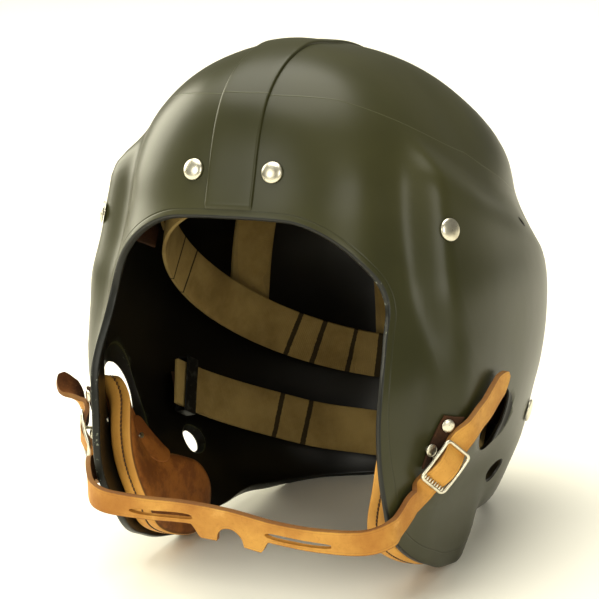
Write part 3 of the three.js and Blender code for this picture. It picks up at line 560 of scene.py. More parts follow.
class Value:
    """A shader socket that takes part in Python sums."""

    def __init__(self, shader, socket):
        self.shader = shader
        self.socket = socket

    def _math(self, operation, *others, flip=False):
        values = [self, *others]
        if flip:
            values.reverse()
        return self.shader.node("ShaderNodeMath", {"operation": operation}, values)

    def __add__(self, other):
        return self._math("ADD", other)

    __radd__ = __add__

    def __sub__(self, other):
        return self._math("SUBTRACT", other)

    def __rsub__(self, other):
        return self._math("SUBTRACT", other, flip=True)

    def __mul__(self, other):
        return self._math("MULTIPLY", other)

    __rmul__ = __mul__

    def __truediv__(self, other):
        return self._math("DIVIDE", other)

    def __abs__(self):
        return self._math("ABSOLUTE")

    def sin(self):
        return self._math("SINE")

    def least(self, other):
        return self._math("MINIMUM", other)

    def most(self, other):
        return self._math("MAXIMUM", other)

    def above(self, low, high):
        """0 below low, 1 above high, and smooth between."""
        return self.shader.node(
            "ShaderNodeMapRange", {"interpolation_type": "SMOOTHSTEP"}, [self, low, high, 0, 1])


class Shader:
    """A material being made, with short ways to add its nodes."""

    def __init__(self, name):
        self.material = bpy.data.materials.new(name)
        self.material.use_nodes = True
        self.tree = self.material.node_tree
        self.bsdf = self.tree.nodes["Principled BSDF"]
        coords = self.tree.nodes.new("ShaderNodeTexCoord")
        self.place = Value(self, coords.outputs["Object"])
        self.uv = Value(self, coords.outputs["UV"])

    def node(self, kind, settings, values=(), output=0, **sockets):
        new = self.tree.nodes.new(kind)
        for key, value in settings.items():
            setattr(new, key, value)
        for target, value in [*enumerate(values), *sockets.items()]:
            socket = new.inputs[target.replace("_", " ") if isinstance(target, str) else target]
            self.join(socket, value)
        return Value(self, new.outputs[output])

    def join(self, socket, value):
        if isinstance(value, Value):
            self.tree.links.new(value.socket, socket)
        else:
            socket.default_value = value

    def noise(self, scale, detail=2.0, rough=0.5, at=None):
        return self.node("ShaderNodeTexNoise", {}, [at or self.place], Scale=scale,
                         Detail=detail, Roughness=rough)

    def cells(self, scale):
        return self.node("ShaderNodeTexVoronoi", {"feature": "SMOOTH_F1"}, [self.place],
                         Scale=scale)

    def stretch(self, factors):
        return self.node("ShaderNodeVectorMath", {"operation": "MULTIPLY"},
                         [self.place, factors])

    def axes(self, source):
        split = self.tree.nodes.new("ShaderNodeSeparateXYZ")
        self.tree.links.new(source.socket, split.inputs[0])
        return [Value(self, split.outputs[k]) for k in range(3)]

    def attribute(self, name):
        return self.node("ShaderNodeAttribute", {"attribute_name": name}, output="Fac")

    def mix(self, factor, a, b):
        new = self.tree.nodes.new("ShaderNodeMix")
        new.data_type = "RGBA"
        self.join(new.inputs["Factor"], factor)
        for key, colour in (("A", a), ("B", b)):
            socket = next(s for s in new.inputs if s.name == key and s.type == "RGBA")
            self.join(socket, colour)
        return Value(self, next(s for s in new.outputs if s.type == "RGBA"))

    def finish(self, colour, rough, metal=None, height=None, strength=0.3, depth=0.001, **fixed):
        self.join(self.bsdf.inputs["Base Color"], colour)
        self.join(self.bsdf.inputs["Roughness"], rough)
        if metal is not None:
            self.join(self.bsdf.inputs["Metallic"], metal)
        if height is not None:
            bump = self.tree.nodes.new("ShaderNodeBump")
            bump.inputs["Strength"].default_value = strength
            bump.inputs["Distance"].default_value = depth
            self.tree.links.new(height.socket, bump.inputs["Height"])
            self.tree.links.new(bump.outputs[0], self.bsdf.inputs["Normal"])
        for key, value in fixed.items():
            self.bsdf.inputs[key.replace("_", " ")].default_value = value
        return self.material


def tone(r, g, b):
    """A screen colour of 0 to 255 parts as a linear colour."""
    def part(v):
        v /= 255
        return v / 12.92 if v <= 0.04045 else ((v + 0.055) / 1.055) ** 2.4
    return (part(r), part(g), part(b), 1.0)


# the scuffed places on the shell's outside in metres, and how far each reaches
SCUFFS = (((0.0476, -0.057, 0.25), 0.014), ((0.0835, -0.052, 0.208), 0.010),
          ((0.0515, -0.078, 0.2276), 0.006), ((-0.031, -0.068, 0.2479), 0.010))


def shell_marks(s):
    """Scratches, nicks and scuffs in the shell's paint."""
    scratch = (s.noise(1.0, 1.5, at=s.stretch((50, 1100, 260))).above(0.775, 0.79)
               * s.noise(10, 2).above(0.6, 0.68))
    nick = s.noise(300, 2, 0.6).above(0.76, 0.79) * s.noise(17, 2).above(0.56, 0.64)
    marks = (scratch * 0.6).most(nick * 0.75)
    fleck = s.noise(520, 6, 0.8).above(0.62, 0.7) * s.noise(90, 3).above(0.48, 0.6)
    for spot, radius in SCUFFS:
        far = s.node("ShaderNodeVectorMath", {"operation": "DISTANCE"}, [s.place, spot],
                     output="Value")
        marks = marks.most((1 - (far / radius).least(1.0)).above(0.05, 0.9) * fleck * 0.6)
    return marks


def shell_lining(s, body, cloudy, inside):
    """The dark inside of the shell and its worn edge over the outside's colour."""
    within = inside.above(0.62, 0.66)
    body = s.mix(within, body, s.mix(cloudy.above(0.4, 0.7), tone(17, 15, 10), tone(28, 25, 17)))
    edge = inside.above(0.16, 0.24) * (1 - within)
    worn = s.noise(420, 4, 0.6).above(0.6, 0.7) * s.noise(30, 2).above(0.5, 0.6)
    return s.mix(edge, body, s.mix(worn * 0.8, tone(26, 27, 23), tone(132, 136, 122)))


def shell_paint(colours):
    """Olive paint outside with wear, a border groove with a line of painted shade along it, and
    a parting ridge with a painted highlight along it.
    """
    s = Shader("olive_shell")
    inside, border, parting = (s.attribute(k) for k in ("inside", "border", "parting"))
    cloudy = s.noise(11, 4)
    outside = 1 - inside.above(0.02, 0.1)
    body = s.mix(cloudy.above(0.3, 0.75), (*colours.shell_dark, 1), (*colours.shell_light, 1))
    # rubbed patches of wear, paler and rougher
    patches = s.noise(42, 8, 0.72).above(0.64, 0.74) * s.noise(6, 2).above(0.5, 0.62)
    body = s.mix(patches * 0.2, body, tone(128, 128, 98))
    marks = shell_marks(s)
    body = s.mix(marks, body, tone(176, 176, 150))
    body = shell_lining(s, body, cloudy, inside)
    step = border.above(-0.35, 0.35)
    groove = (abs(border) / 0.6).least(1.0)
    ridge = 1 - (abs(parting) / 0.45).least(1.0)
    # a dark line along the border groove: painted shade
    body = s.mix((1 - groove) * outside * 0.3, body, tone(24, 25, 15))
    # a pale line along the parting ridge: painted highlight
    body = s.mix(ridge * outside * 0.16, body, tone(140, 142, 112))
    height = groove * 0.5 * outside + step * 0.6 * outside + ridge * 0.35 * outside
    height = height + s.noise(1100, 2) * 0.04 + s.noise(30, 2) * 0.9
    rough = 0.29 + cloudy * 0.12 + patches * 0.22 + marks * 0.2
    return s.finish(body, rough, height=height, strength=0.55, depth=0.0005,
                    Specular_IOR_Level=0.3)


# the webbing's dark cross lines: distance along the band, then the width
HEADBAND_MARKS = ((321, 5), (338, 2.2), (357.7, 2.6), (373.6, 2.6), (466.2, 1.1),
                  (483.9, 1.1))
NECK_MARKS = ((201, 2.6), (219, 2.6))


def webbing_cloth(colours, name="cotton_webbing", marks=()):
    """Soiled ribbed cotton that reads its weave and its dark lines from the band's UVs."""
    s = Shader(name)
    along, across, _ = s.axes(s.uv)
    rib = (along * (2 * math.pi / 1.1)).sin()
    twill = ((along + across * 0.9) * (2 * math.pi / 0.9)).sin()
    cloth = rib * 0.4 + twill * 0.6
    soil = s.noise(26, 5, 0.6)
    stain = s.noise(9, 3).above(0.52, 0.7)
    colour = s.mix(soil.above(0.3, 0.7), (*colours.webbing_dark, 1), (*colours.webbing_light, 1))
    colour = s.mix(stain * 0.35, colour, tone(120, 102, 62))
    colour = s.mix((cloth * 0.5 + 0.5) * 0.22, colour, tone(120, 108, 76))
    edge = (abs(across) - 11.6).above(0.0, 0.9)
    colour = s.mix(edge * 0.3, colour, tone(110, 98, 66))
    for place, wide in marks:
        waver = s.noise(900, 3) * (0.9 if wide > 2 else 0.2) + s.noise(120, 3) * 0.8
        line = 1 - (abs(along + waver - (place + 0.8)) - wide / 2).above(0, 0.35)
        colour = s.mix(line * 0.9, colour, tone(20, 16, 11))
    return s.finish(colour, 0.92, height=cloth * 0.5 + s.noise(2200, 2) * 0.6, strength=0.5,
                    depth=0.0004, Specular_IOR_Level=0.2)


def blotched_leather(s, colours):
    """The tan that strap and pads share, and its fibres."""
    fibre = s.noise(420, 4, 0.7)
    blotch = s.noise(30, 5, 0.6)
    colour = s.mix(blotch.above(0.32, 0.7), (*colours.leather_dark, 1),
                   (*colours.leather_light, 1))
    return s.mix(fibre.above(0.5, 0.75) * 0.35, colour, tone(150, 92, 34)), fibre


def tan_leather(colours):
    """Tan with dark cut edges and a pressed line beside them, for the chin strap."""
    s = Shader("strap_leather")
    grain = s.cells(900)
    colour, fibre = blotched_leather(s, colours)
    worn = s.noise(60, 6, 0.7).above(0.58, 0.72)
    colour = s.mix(worn * 0.3, colour, tone(226, 178, 104))
    cut = 1 - (s.attribute("edge") + s.noise(600, 3) * 0.5).above(0.3, 0.75)
    crease = 1 - (abs(s.attribute("edge") - 1.5) / 0.25).least(1.0)
    colour = s.mix((cut * 0.75).most(crease * 0.25), colour, tone(92, 52, 22))
    return s.finish(colour, 0.55 + fibre * 0.2, height=grain * 0.5 + fibre * 0.7, strength=0.35,
                    depth=0.0005, Specular_IOR_Level=0.35)


def pad_leather(colours):
    """Tan on the gusset and the seam; the face against the jaw darker and redder, as painted
    shade.
    """
    s = Shader("pad_leather")
    depth = s.attribute("depth")
    colour, fibre = blotched_leather(s, colours)
    # the face against the jaw: two dark tones in patches, darkened as painted shade
    patches = s.mix(s.noise(70, 6, 0.7).above(0.42, 0.62), tone(124, 70, 27), tone(158, 96, 38))
    gusset = depth.above(0.1, 0.2) * (1 - depth.above(12.1, 12.8))
    colour = s.mix(gusset, patches, s.mix(0.5, colour, tone(236, 174, 82)))
    seam = 1 - (abs(depth - 7) / 0.55).least(1.0)
    crease = 1 - (abs(depth - 12.5) / 0.4).least(1.0)
    colour = s.mix((seam * 0.8).most(crease * 0.7), colour, tone(52, 28, 12))
    return s.finish(colour, 0.5 + fibre * 0.2, height=fibre - seam, strength=0.35,
                    depth=0.0005, Specular_IOR_Level=0.35)


def brown_leather():
    s = Shader("brown_leather")
    fibre = s.noise(500, 4, 0.7)
    blotch = s.noise(45, 4)
    colour = s.mix(blotch.above(0.3, 0.7), tone(34, 20, 10), tone(70, 41, 19))
    colour = s.mix(fibre.above(0.5, 0.8) * 0.3, colour, tone(112, 72, 36))
    return s.finish(colour, 0.8, height=fibre, strength=0.5, depth=0.0005,
                    Specular_IOR_Level=0.25)


def flesh_side():
    s = Shader("strap_flesh_side")
    fibre = s.noise(700, 4, 0.75)
    colour = s.mix(s.noise(60, 4).above(0.3, 0.7), tone(56, 30, 12), tone(96, 56, 24))
    colour = s.mix(fibre.above(0.55, 0.8) * 0.5, colour, tone(150, 100, 52))
    return s.finish(colour, 0.95, height=fibre, strength=0.7, depth=0.0006,
                    Specular_IOR_Level=0.15)


def nickel_plate(colours):
    s = Shader("worn_nickel")
    cloudy = s.noise(220, 4)
    pits = s.noise(900, 3).above(0.62, 0.72)
    tarnish = s.noise(90, 4).above(0.55, 0.75)
    colour = s.mix(tarnish * 0.5, (*colours.nickel, 1), tone(150, 138, 112))
    colour = s.mix(pits * 0.5, colour, tone(96, 84, 62))
    return s.finish(colour, 0.2 + cloudy * 0.22 + pits * 0.2, metal=1 - pits * 0.5,
                    height=cloudy - pits, strength=0.15, depth=0.0003)


def dark_metal():
    s = Shader("dark_clip_metal")
    cloudy = s.noise(260, 4)
    colour = s.mix(cloudy.above(0.5, 0.7), tone(30, 30, 28), tone(74, 74, 70))
    return s.finish(colour, 0.4 + cloudy * 0.2, metal=0.6 + cloudy * 0.2, height=cloudy,
                    strength=0.2, depth=0.0003)


def thread():
    s = Shader("waxed_thread")
    twist = s.noise(1500, 2)
    colour = s.mix(twist, tone(44, 26, 12), tone(96, 62, 30))
    return s.finish(colour, 0.7, height=twist, strength=0.4, depth=0.0002)


def pale_floor(colours):
    """The plain ground under the helmet."""
    s = Shader("pale_floor")
    shade = s.noise(3, 2)
    colour = s.mix(shade, (*colours.floor, 1), tuple(0.985 * c for c in colours.floor) + (1,))
    return s.finish(colour, 0.85 + shade * 0.05, Specular_IOR_Level=0.15)


MADE = {}


def paint(kind, maker, *args, **named_args):
    """Each finish is made once and shared by its pieces."""
    if kind not in MADE:
        MADE[kind] = maker(*args, **named_args)
    return MADE[kind]


# ------------------------------------------------------------------ the shell's mesh


def closed_spline(points, steps):
    """A smooth closed curve through the points."""
    p = np.asarray(points, float)
    n = len(p)
    wrapped = np.vstack([p[-2:], p, p[:3]])
    return spline(wrapped, steps)[2 * steps:(n + 2) * steps]


def rim_points(count):
    """Even points on the outer edge of the opening."""
    half = [on_shell(turn, height) for turn, height in RIM]
    return even_loop(closed_spline(half + [p * (-1, 1, 1) for p in half[-2:0:-1]], 60), count)


def shell_directions(rim, rows):
    """Rows of directions from the rim to the back of the crown: (millimetres, share) each."""
    pole = towards(np.array(CROWN_BACK[0], float), np.array(CROWN_BACK[1], float))
    ends = unit(rim)
    reach = np.linalg.norm(rim, axis=1)
    whole = np.arccos(np.clip(ends @ pole, -1, 1))
    side = unit(pole - ends * (ends @ pole)[:, None])
    rows_out = []
    for near, share in rows:
        angle = near / reach + share * (whole - SHELL_NEAR[-1] / reach)
        rows_out.append(ends * np.cos(angle)[:, None] + side * np.sin(angle)[:, None])
    return rows_out, side, pole


SHELL_NEAR = (1.2, 2.6, 4.4, 6.6, 9.2, 12.0)
SHELL_ROWS = 54
RIM_COUNT = 380
EDGE_ROUND = 1.2


def shell_rows():
    """Each ring of the wall from the inside's pole over the edge to the outside's pole."""
    rim = rim_points(RIM_COUNT)
    shares = [(near, 0.0) for near in SHELL_NEAR]
    shares += [(SHELL_NEAR[-1], k / SHELL_ROWS) for k in range(1, SHELL_ROWS)]
    directions, side, pole = shell_directions(rim, shares)
    rings, insides = [], []
    for d in reversed(directions):
        rings.append(on_surface(d) - surface_normal(d) * WALL)
        insides.append(1.0)
    base, normals = on_surface(unit(rim)), surface_normal(unit(rim))
    inward = unit(side - normals * (side * normals).sum(-1, keepdims=True))
    for inner, steps in ((1.0, range(4, -1, -1)), (0.0, range(5))):
        for k in steps:
            a = k / 4 * math.pi / 2
            inset = EDGE_ROUND * (1 - math.sin(a))
            inset = WALL - inset if inner else inset
            rings.append(base - normals * inset + inward * EDGE_ROUND * (1 - math.cos(a)))
            insides.append(0.4 if k < 4 else inner)
    for d in directions[1:]:
        rings.append(on_surface(d))
        insides.append(0.0)
    tip = on_surface(pole)
    return rings, insides, (tip - surface_normal(pole) * WALL, tip)


def parting_offset(turn, height):
    """Millimetres above the mould's parting line, on either side."""
    t = np.abs((turn + 180) % 360 - 180)
    return (height - np.interp(t, PARTING[:, 0], PARTING[:, 1])) * 2.4


def mark_shell(obj, places, insides):
    """Store what the shell's paint reads: side, border line and parting line."""
    rim = rim_points(2800)
    tree = KDTree(len(rim))
    for i, p in enumerate(rim):
        tree.insert(p, i)
    tree.balance()
    turn, height = angles_of(places)
    border = np.array([8.0 - 4.2 * ease((h + 45) / 30) for h in height])
    gap = np.array([tree.find(p)[2] for p in places]) - border
    for name, values in (("inside", insides), ("border", gap),
                         ("parting", parting_offset(turn, height))):
        set_mark(obj, name, values)


def shell_wall():
    """The whole wall as one closed skin, with its marks."""
    rings, insides, (first, last) = shell_rows()
    obj, places = loft("shell_wall_mesh", first, rings, last)
    marks = np.concatenate(([1.0], np.repeat(insides, len(rings[0])), [0.0]))
    mark_shell(obj, places, marks)
    return obj


# height angles of the raised strip's ends, then its section: across, rise
STRIP = {"front": 21.3, "back": 169.6, "steps": 260}
STRIP_PROFILE = [
    (-13.1, -0.8), (-13.0, 0.4), (-12.75, 1.1), (-12.2, 1.45), (-11.2, 1.5), (-7.5, 1.5),
    (-3.8, 1.5), (0, 1.5), (3.8, 1.5), (7.5, 1.5), (11.2, 1.5), (12.2, 1.45), (12.75, 1.1),
    (13.0, 0.4), (13.1, -0.8),
]


def crown_strip():
    """The raised strip over the middle, with a crisp edge each side and rounded ends."""
    n = len(STRIP_PROFILE)
    bpy.ops.mesh.primitive_grid_add(x_subdivisions=n - 1, y_subdivisions=STRIP["steps"], size=2)
    obj = named("strip_mesh")
    rows = []
    for i in range(STRIP["steps"] + 1):
        h = STRIP["front"] + (STRIP["back"] - STRIP["front"]) * i / STRIP["steps"]
        middle = towards(*((0.0, h) if h <= 90 else (180.0, 180.0 - h)))
        near_end = min(i * 0.33, STRIP["steps"] - i)
        low = 2.2 * (1 - min(1.0, near_end)) ** 2
        for x, rise in STRIP_PROFILE:
            p = on_surface(middle)
            p[0] = x
            rows.append(on_surface(p) + surface_normal(p) * (rise - low))
    places = np.array(rows)
    obj.data.vertices.foreach_set("co", world(places).ravel())
    tidy(obj)
    if obj.data.polygons[n * 60].normal.dot(Vector(world_way(places[n * 60])[0])) < 0:
        obj.data.flip_normals()
    mark_shell(obj, places, np.zeros(len(places)))
    return obj


def cutter(hole, side, dish, depth):
    """An oval cutter through the wall that flares into a shallow dish outside."""
    r, flare = hole["across"] / 2, hole.get("flare", 0)
    profile = [(0, -12), (r + flare * 11 / 3, -12), (r + flare, -WALL), (r, -depth - 0.6),
               (r + 0.25, -depth)]
    profile += [(r + 0.25 + dish * t, -depth + depth * t * t) for t in (0.3, 0.55, 0.8)]
    profile += [(r + 0.25 + dish, 0.05), (r + dish + 1.5, 3), (r + dish + 1.5, 25), (0, 25)]
    obj = turned("cutter", profile, 72)
    stretch = (hole.get("tall", hole["across"]) + dish) / (hole["across"] + dish)
    for v in obj.data.vertices:
        v.co.y *= stretch
    turn = hole[side] if side in hole else hole["turn"]
    put(obj, shell_frame(side, turn, hole["height"]))
    for mark, value in (("inside", 0.4), ("border", 50.0), ("parting", 50.0)):
        set_mark(obj, mark, np.full(len(obj.data.vertices), value))
    return obj


def drill_shell(shell):
    """Cut the ear, vent and pad holes."""
    for side in (1, -1):
        for hole, dish, depth in ((EAR_HOLE, 4.2, 1.5), (VENT, 0.5, 0.4), (PAD_HOLE, 0.6, 0.4)):
            cut = cutter(hole, side, dish, depth)
            apply_modifier(shell, "BOOLEAN", object=cut, operation="DIFFERENCE", solver="EXACT")
            bpy.data.objects.remove(cut)


def stand_flat(shell):
    """Cut the lowest edges level with the floor, to the operator's threshold of 0.1 mm."""
    edit_all(shell, bpy.ops.mesh.bisect, plane_co=(0, 0, 0), plane_no=(0, 0, 1),
             clear_inner=True, use_fill=True)


# ------------------------------------------------------------------ metal pieces


def turned(name, profile, steps=32):
    """A piece spun about Z from a profile of (radius, height) in millimetres."""
    verts = [(r / 1000, 0, z / 1000) for r, z in profile]
    obj = mesh_from(name, verts, [])
    obj.data.edges.add(len(verts) - 1)
    for i, edge in enumerate(obj.data.edges):
        edge.vertices = (i, i + 1)
    edit_all(obj, bpy.ops.mesh.spin, steps=steps, angle=2 * math.pi, center=(0, 0, 0),
             axis=(0, 0, 1))
    return smooth(tidy(obj), 50)


def rivet_profile(pin):
    """A domed head with a thin rim on the shell, a shank, and a flange inside."""
    radius, dome, grip = pin["across"] / 2, pin["dome"], pin.get("grip", 0)
    foot = [(0, -grip - 1.0), (3.3, -grip - 1.0), (3.84, -grip - 0.7), (3.84, -grip - 0.2),
            (3.6, -grip), (1.6, -grip)]
    head = [(1.6, 0.4), (radius - 0.3, 0.4), (radius, 0.55), (radius, 0.85)]
    arc = [(radius * math.cos(a), 0.8 + (dome - 0.4) * math.sin(a))
           for a in np.linspace(0.12, math.pi / 2, 12)]
    arc[-1] = (0, arc[-1][1])
    return (foot if grip else [(0, -WALL - pin["out"]), (1.6, -WALL - pin["out"])]) + head + arc


def copy_to(obj, name, matrix):
    """A copy of a flat-modelled piece at its place."""
    twin = obj.copy()
    twin.data = obj.data.copy()
    twin.name = twin.data.name = name
    bpy.context.scene.collection.objects.link(twin)
    return put(twin, matrix)


def tube(name, points, radius, normal, sides=16, looped=False):
    """A round rod along a path of head-frame points."""
    p = np.asarray(points, float)
    n = len(p)
    along = heading(p, looped)
    b = unit(normal - along * (along @ normal)[:, None])
    c = np.cross(along, b)
    angles = (np.arange(sides) + 0.5) / sides * 2 * math.pi
    ring = (p[:, None] + b[:, None] * np.cos(angles)[None, :, None] * radius
            + c[:, None] * np.sin(angles)[None, :, None] * radius)
    faces = []
    for i in range(n if looped else n - 1):
        a, d = i * sides, (i + 1) % n * sides
        faces += [(a + k, d + k, d + (k + 1) % sides, a + (k + 1) % sides) for k in range(sides)]
    if not looped:
        faces += [tuple(range(sides)), tuple(reversed(range((n - 1) * sides, n * sides)))]
    return tidy(mesh_from(name, world(ring.reshape(-1, 3)), faces))


class BucklePlace:
    """Where a buckle lies on the shell: points by distances across, along and off it."""

    def __init__(self, side):
        low, high = (on_shell(side * turn, height, BUCKLE["out"])
                     for turn, height in (BUCKLE["low"], BUCKLE["high"]))
        self.middle = (low + high) / 2
        self.along = unit(high - low)
        normal = surface_normal(self.middle)
        self.normal = unit(normal - self.along * (normal @ self.along))
        self.across = np.cross(self.normal, self.along)
        self.half = float(np.linalg.norm(high - low)) / 2

    def at(self, u, v, out):
        return self.middle + self.across * u + self.along * v + self.normal * out


def buckle_ring(place, corner_steps=10, side_steps=16):
    """The frame's centre line: a rounded rectangle bowed over the strap."""
    w, half = (BUCKLE["width"] - BUCKLE["wire"]) / 2, place.half
    r = BUCKLE["corner"]
    ring = []
    for u, v, start in ((w - r, half - r, 0), (r - w, half - r, 90), (r - w, r - half, 180),
                        (w - r, r - half, 270)):
        for k in range(corner_steps + 1):
            a = math.radians(start + 90 * k / corner_steps)
            ring.append((u + r * math.cos(a), v + r * math.sin(a)))
    filled = []
    for (u0, v0), (u1, v1) in zip(ring, ring[1:] + ring[:1]):
        pieces = side_steps if math.hypot(u1 - u0, v1 - v0) > 3 else 1
        filled += [(u0 + (u1 - u0) * k / pieces, v0 + (v1 - v0) * k / pieces)
                   for k in range(pieces)]
    return [place.at(u, v, BUCKLE["bow"] * (1 - (v / half) ** 2)) for u, v in filled]


def buckle_teeth(place):
    """A toothed plate along the lower bar: short flat fingers pointing in over the strap."""
    parts = []
    for k in range(8):
        tooth = sized(bpy.ops.mesh.primitive_cube_add, "tooth", (0.0012, 0.0026, 0.0007),
                      size=1)
        for v in tooth.data.vertices:
            if v.co.y > 0:
                v.co.x *= 0.5
        put(tooth, frame_matrix(place.at((k - 3.5) * 1.75, 1.6 - place.half, 0.2),
                                place.across, place.along, place.normal))
        parts.append(apply_modifier(tooth, "BEVEL", width=0.0002, segments=1))
    return parts


def join(name, parts):
    """Make one piece of several."""
    deselect()
    for part in parts:
        part.select_set(True)
    bpy.context.view_layer.objects.active = parts[0]
    if len(parts) > 1:
        bpy.ops.object.join()
    parts[0].name = parts[0].data.name = name
    return parts[0]


def make_buckle(side, name):
    """A buckle's frame, its dipped bar and its teeth in one piece."""
    place = BucklePlace(side)
    wire = BUCKLE["wire"] / 2
    frame_ring = tube("Frame", buckle_ring(place), wire, place.normal, looped=True)
    w = (BUCKLE["width"] - BUCKLE["wire"]) / 2
    bow, dip = BUCKLE["bow"] - 0.3, BUCKLE["bar_dip"]
    route = spline([place.at(-w, 0, bow), place.at(1.6 - w, 0, dip), place.at(0, 0, dip),
                    place.at(w - 1.6, 0, dip), place.at(w, 0, bow)], 8)
    bar = tube("Bar", route, 0.8, place.along, sides=12)
    return smooth(join(name, [frame_ring, bar, *buckle_teeth(place)]), 60)


# ------------------------------------------------------------------ webbing


def headband_at(angle):
    """The headband's middle line and its outward way at an angle from the front."""
    a = np.radians(angle)
    c, s = np.cos(a), np.sin(a)
    point = np.stack([HEADBAND["half_width"] * s, HEADBAND["back"] - HEADBAND["half_length"] * c,
                      HEADBAND["middle"] + HEADBAND["slope"] * c - HEADBAND["dip"] * s * s], -1)
    out = unit(np.stack([point[..., 0] / HEADBAND["half_width"]**2,
                         (point[..., 1] - HEADBAND["back"]) / HEADBAND["half_length"]**2,
                         0 * a], -1))
    out[..., 2] = HEADBAND["lean"]
    return point, unit(out)


def neck_route():
    """The neck band's middle line from end to end, with outward ways."""
    half = np.array(NECK_BAND, float)
    line = np.vstack([half, half[-2::-1] * (-1, 1, 1)])
    normals = unit(np.stack([line[:, 0], line[:, 1] - 20, np.full(len(line), -14.0)], -1))
    return smooth_route(list(zip(line, normals)), 1.6)


def neck_place(side, along):
    """A place near one end of the neck band: middle, way to the nape and outward normal."""
    points, normals, _ = neck_route()
    if side < 0:
        points, normals = points[::-1], normals[::-1]
    i = along * (len(points) - 1)
    k = int(i)
    middle = points[k] + (points[k + 1] - points[k]) * (i - k)
    forward = unit(points[k + 1] - points[k])
    normal = unit(normals[k] - forward * (normals[k] @ forward))
    return middle, forward, normal


def dome_at(x, y, outside):
    """A point and its outward way on the dome that the crown straps follow."""
    w = HEADBAND["half_width"] + outside
    reach = HEADBAND["half_length"] + outside - CROWN["slack"]
    middle = HEADBAND["back"] + CROWN["slack"]
    dx, dy = x / w, (y - middle) / reach
    kept = np.minimum(1, 0.9995 / np.maximum(np.hypot(dx, dy), 1e-6))
    dx, dy = dx * kept, dy * kept
    turn = np.arctan2(dx, -dy)
    foot = headband_at(np.degrees(turn))[0][..., 2] + CROWN["lift"] * (1 + np.cos(turn)) / 2
    tall = CROWN["top"] + outside - foot
    rise = tall * np.sqrt(1 - dx * dx - dy * dy)
    point = np.stack([dx * w, dy * reach + middle, foot + rise], -1)
    return point, unit(np.stack([dx / w, dy / reach, rise / tall**2], -1))


def strap_foot(points):
    """Rows that carry a strap's end down to a little below the headband's middle."""
    w = HEADBAND["half_width"] + CROWN["outside"]
    reach = HEADBAND["half_length"] + CROWN["outside"] - CROWN["slack"]
    middle = HEADBAND["back"] + CROWN["slack"]
    x, y = points[:, 0], points[:, 1] - middle
    away = np.hypot(x / w, y / reach)
    rows, ways = [], []
    for share in (0.2, 0.4, 0.6, 0.8, 1.0):
        grow = 1 + (1 / away - 1) * share
        row, way = dome_at(x * grow, middle + y * grow, CROWN["outside"])
        row = row + way * CROWN["foot"] * HEADBAND["lean"] * share
        row[:, 2] -= CROWN["foot"] * share
        rows.append(row)
        ways.append(way)
    return np.array(rows), np.array(ways)


def crown_strap_grid(angle, layer, steps, columns, width):
    """Rows of points and normals of a crown strap on the dome, with a foot at each end."""
    sa, ca = math.sin(math.radians(angle)), math.cos(math.radians(angle))
    across = unit(np.array([HEADBAND["half_length"] * ca, HEADBAND["half_width"] * sa]))
    reach = np.sin((1 - 2 * np.arange(steps + 1) / steps) * math.pi / 2)[:, None]
    outside = CROWN["outside"] + layer * CROWN["spacing"] * (1 - reach**4)
    offset = (np.arange(columns + 1) / columns - 0.5)[None] * width
    x = reach * (HEADBAND["half_width"] + outside) * sa + across[0] * offset
    y = HEADBAND["back"] - reach * (HEADBAND["half_length"] + outside) * ca + across[1] * offset
    points, normals = dome_at(x, y, outside + 0 * offset)
    first, last = strap_foot(points[0]), strap_foot(points[-1])
    points = np.concatenate([first[0][::-1], points, last[0]])
    normals = np.concatenate([first[1][::-1], normals, last[1]])
    return points, normals


def tab_route(pin, side, end, end_normal):
    """From flat against the shell at a rivet to flat on the webbing."""
    start = on_shell(side * pin["turn"], pin["height"], -WALL - 0.4 - 0.9 - 0.3)
    normal = normal_at(side * pin["turn"], pin["height"])
    way = end - start
    flat = unit(way - normal * (way @ normal))
    near = start + flat * 5
    rows = [(start - flat * 5, normal), (start, normal), (near, normal),
            ((near + end) / 2, end_normal), (end, end_normal)]
    return smooth_route(rows, 1.2)


# ------------------------------------------------------------------ leather pieces


def strap_route():
    """The chin strap's centre line from the wearer's left tip to the right tip."""
    def on_side(rows, side):
        return [(on_shell(side * t, h, o), normal_at(side * t, h)) for t, h, o in rows]

    def through(side):
        place = BucklePlace(side)
        return [(place.at(0, v * place.half, rise), place.normal) for v, rise in THROUGH_BUCKLE]

    def free(rows):
        return [(np.array(row[:3], float), unit(np.array(row[3:], float))) for row in rows]

    return (on_side(STRAP_LEFT_TIP, 1) + through(1) + on_side(STRAP_LEFT_CHEEK, 1)
            + free(STRAP_CHIN) + on_side(STRAP_RIGHT_CHEEK, -1) + through(-1)[::-1]
            + on_side(STRAP_RIGHT_RISE, -1) + free(STRAP_RIGHT_TIP))


def strap_lower(d, half):
    """The strap's lower edge below its middle line, by distance from the chin's middle."""
    d, deep = np.abs(d), CHIN["deep"]
    tooth = deep - CHIN["notch"] * np.sqrt(np.clip(1 - (d / CHIN["notch_half"]) ** 2, 0, 1))
    strand = half + (deep - half) * (1 - ease((d - CHIN["teeth_end"]) / CHIN["fall"]))
    return np.where(d < CHIN["teeth_middle"], tooth, strand)


def strap_lines(d, tip, width):
    """Offsets of the grid's lines across the strap, and which rows hold a slot."""
    half = width / 2
    up, down = -half * tip, strap_lower(d, half) * tip
    u = (np.abs(d) - SLOT["middle"]) / SLOT["half"]
    open_half = (SLOT["open"] - 0.3 * u) * np.clip(1 - np.abs(u)**5, 0, 1) ** 0.4
    middle = np.where(np.abs(u) < 1, SLOT["above"], SLOT["above"] * tip)
    top, bottom = middle - np.maximum(open_half, 0.2), middle + np.maximum(open_half, 0.2)
    upper = [up + (top - up) * k / 5 for k in range(6)]
    lower = [bottom + (down - bottom) * k / 4 for k in range(5)]
    return np.stack(upper + lower, -1), np.abs(u) < 1


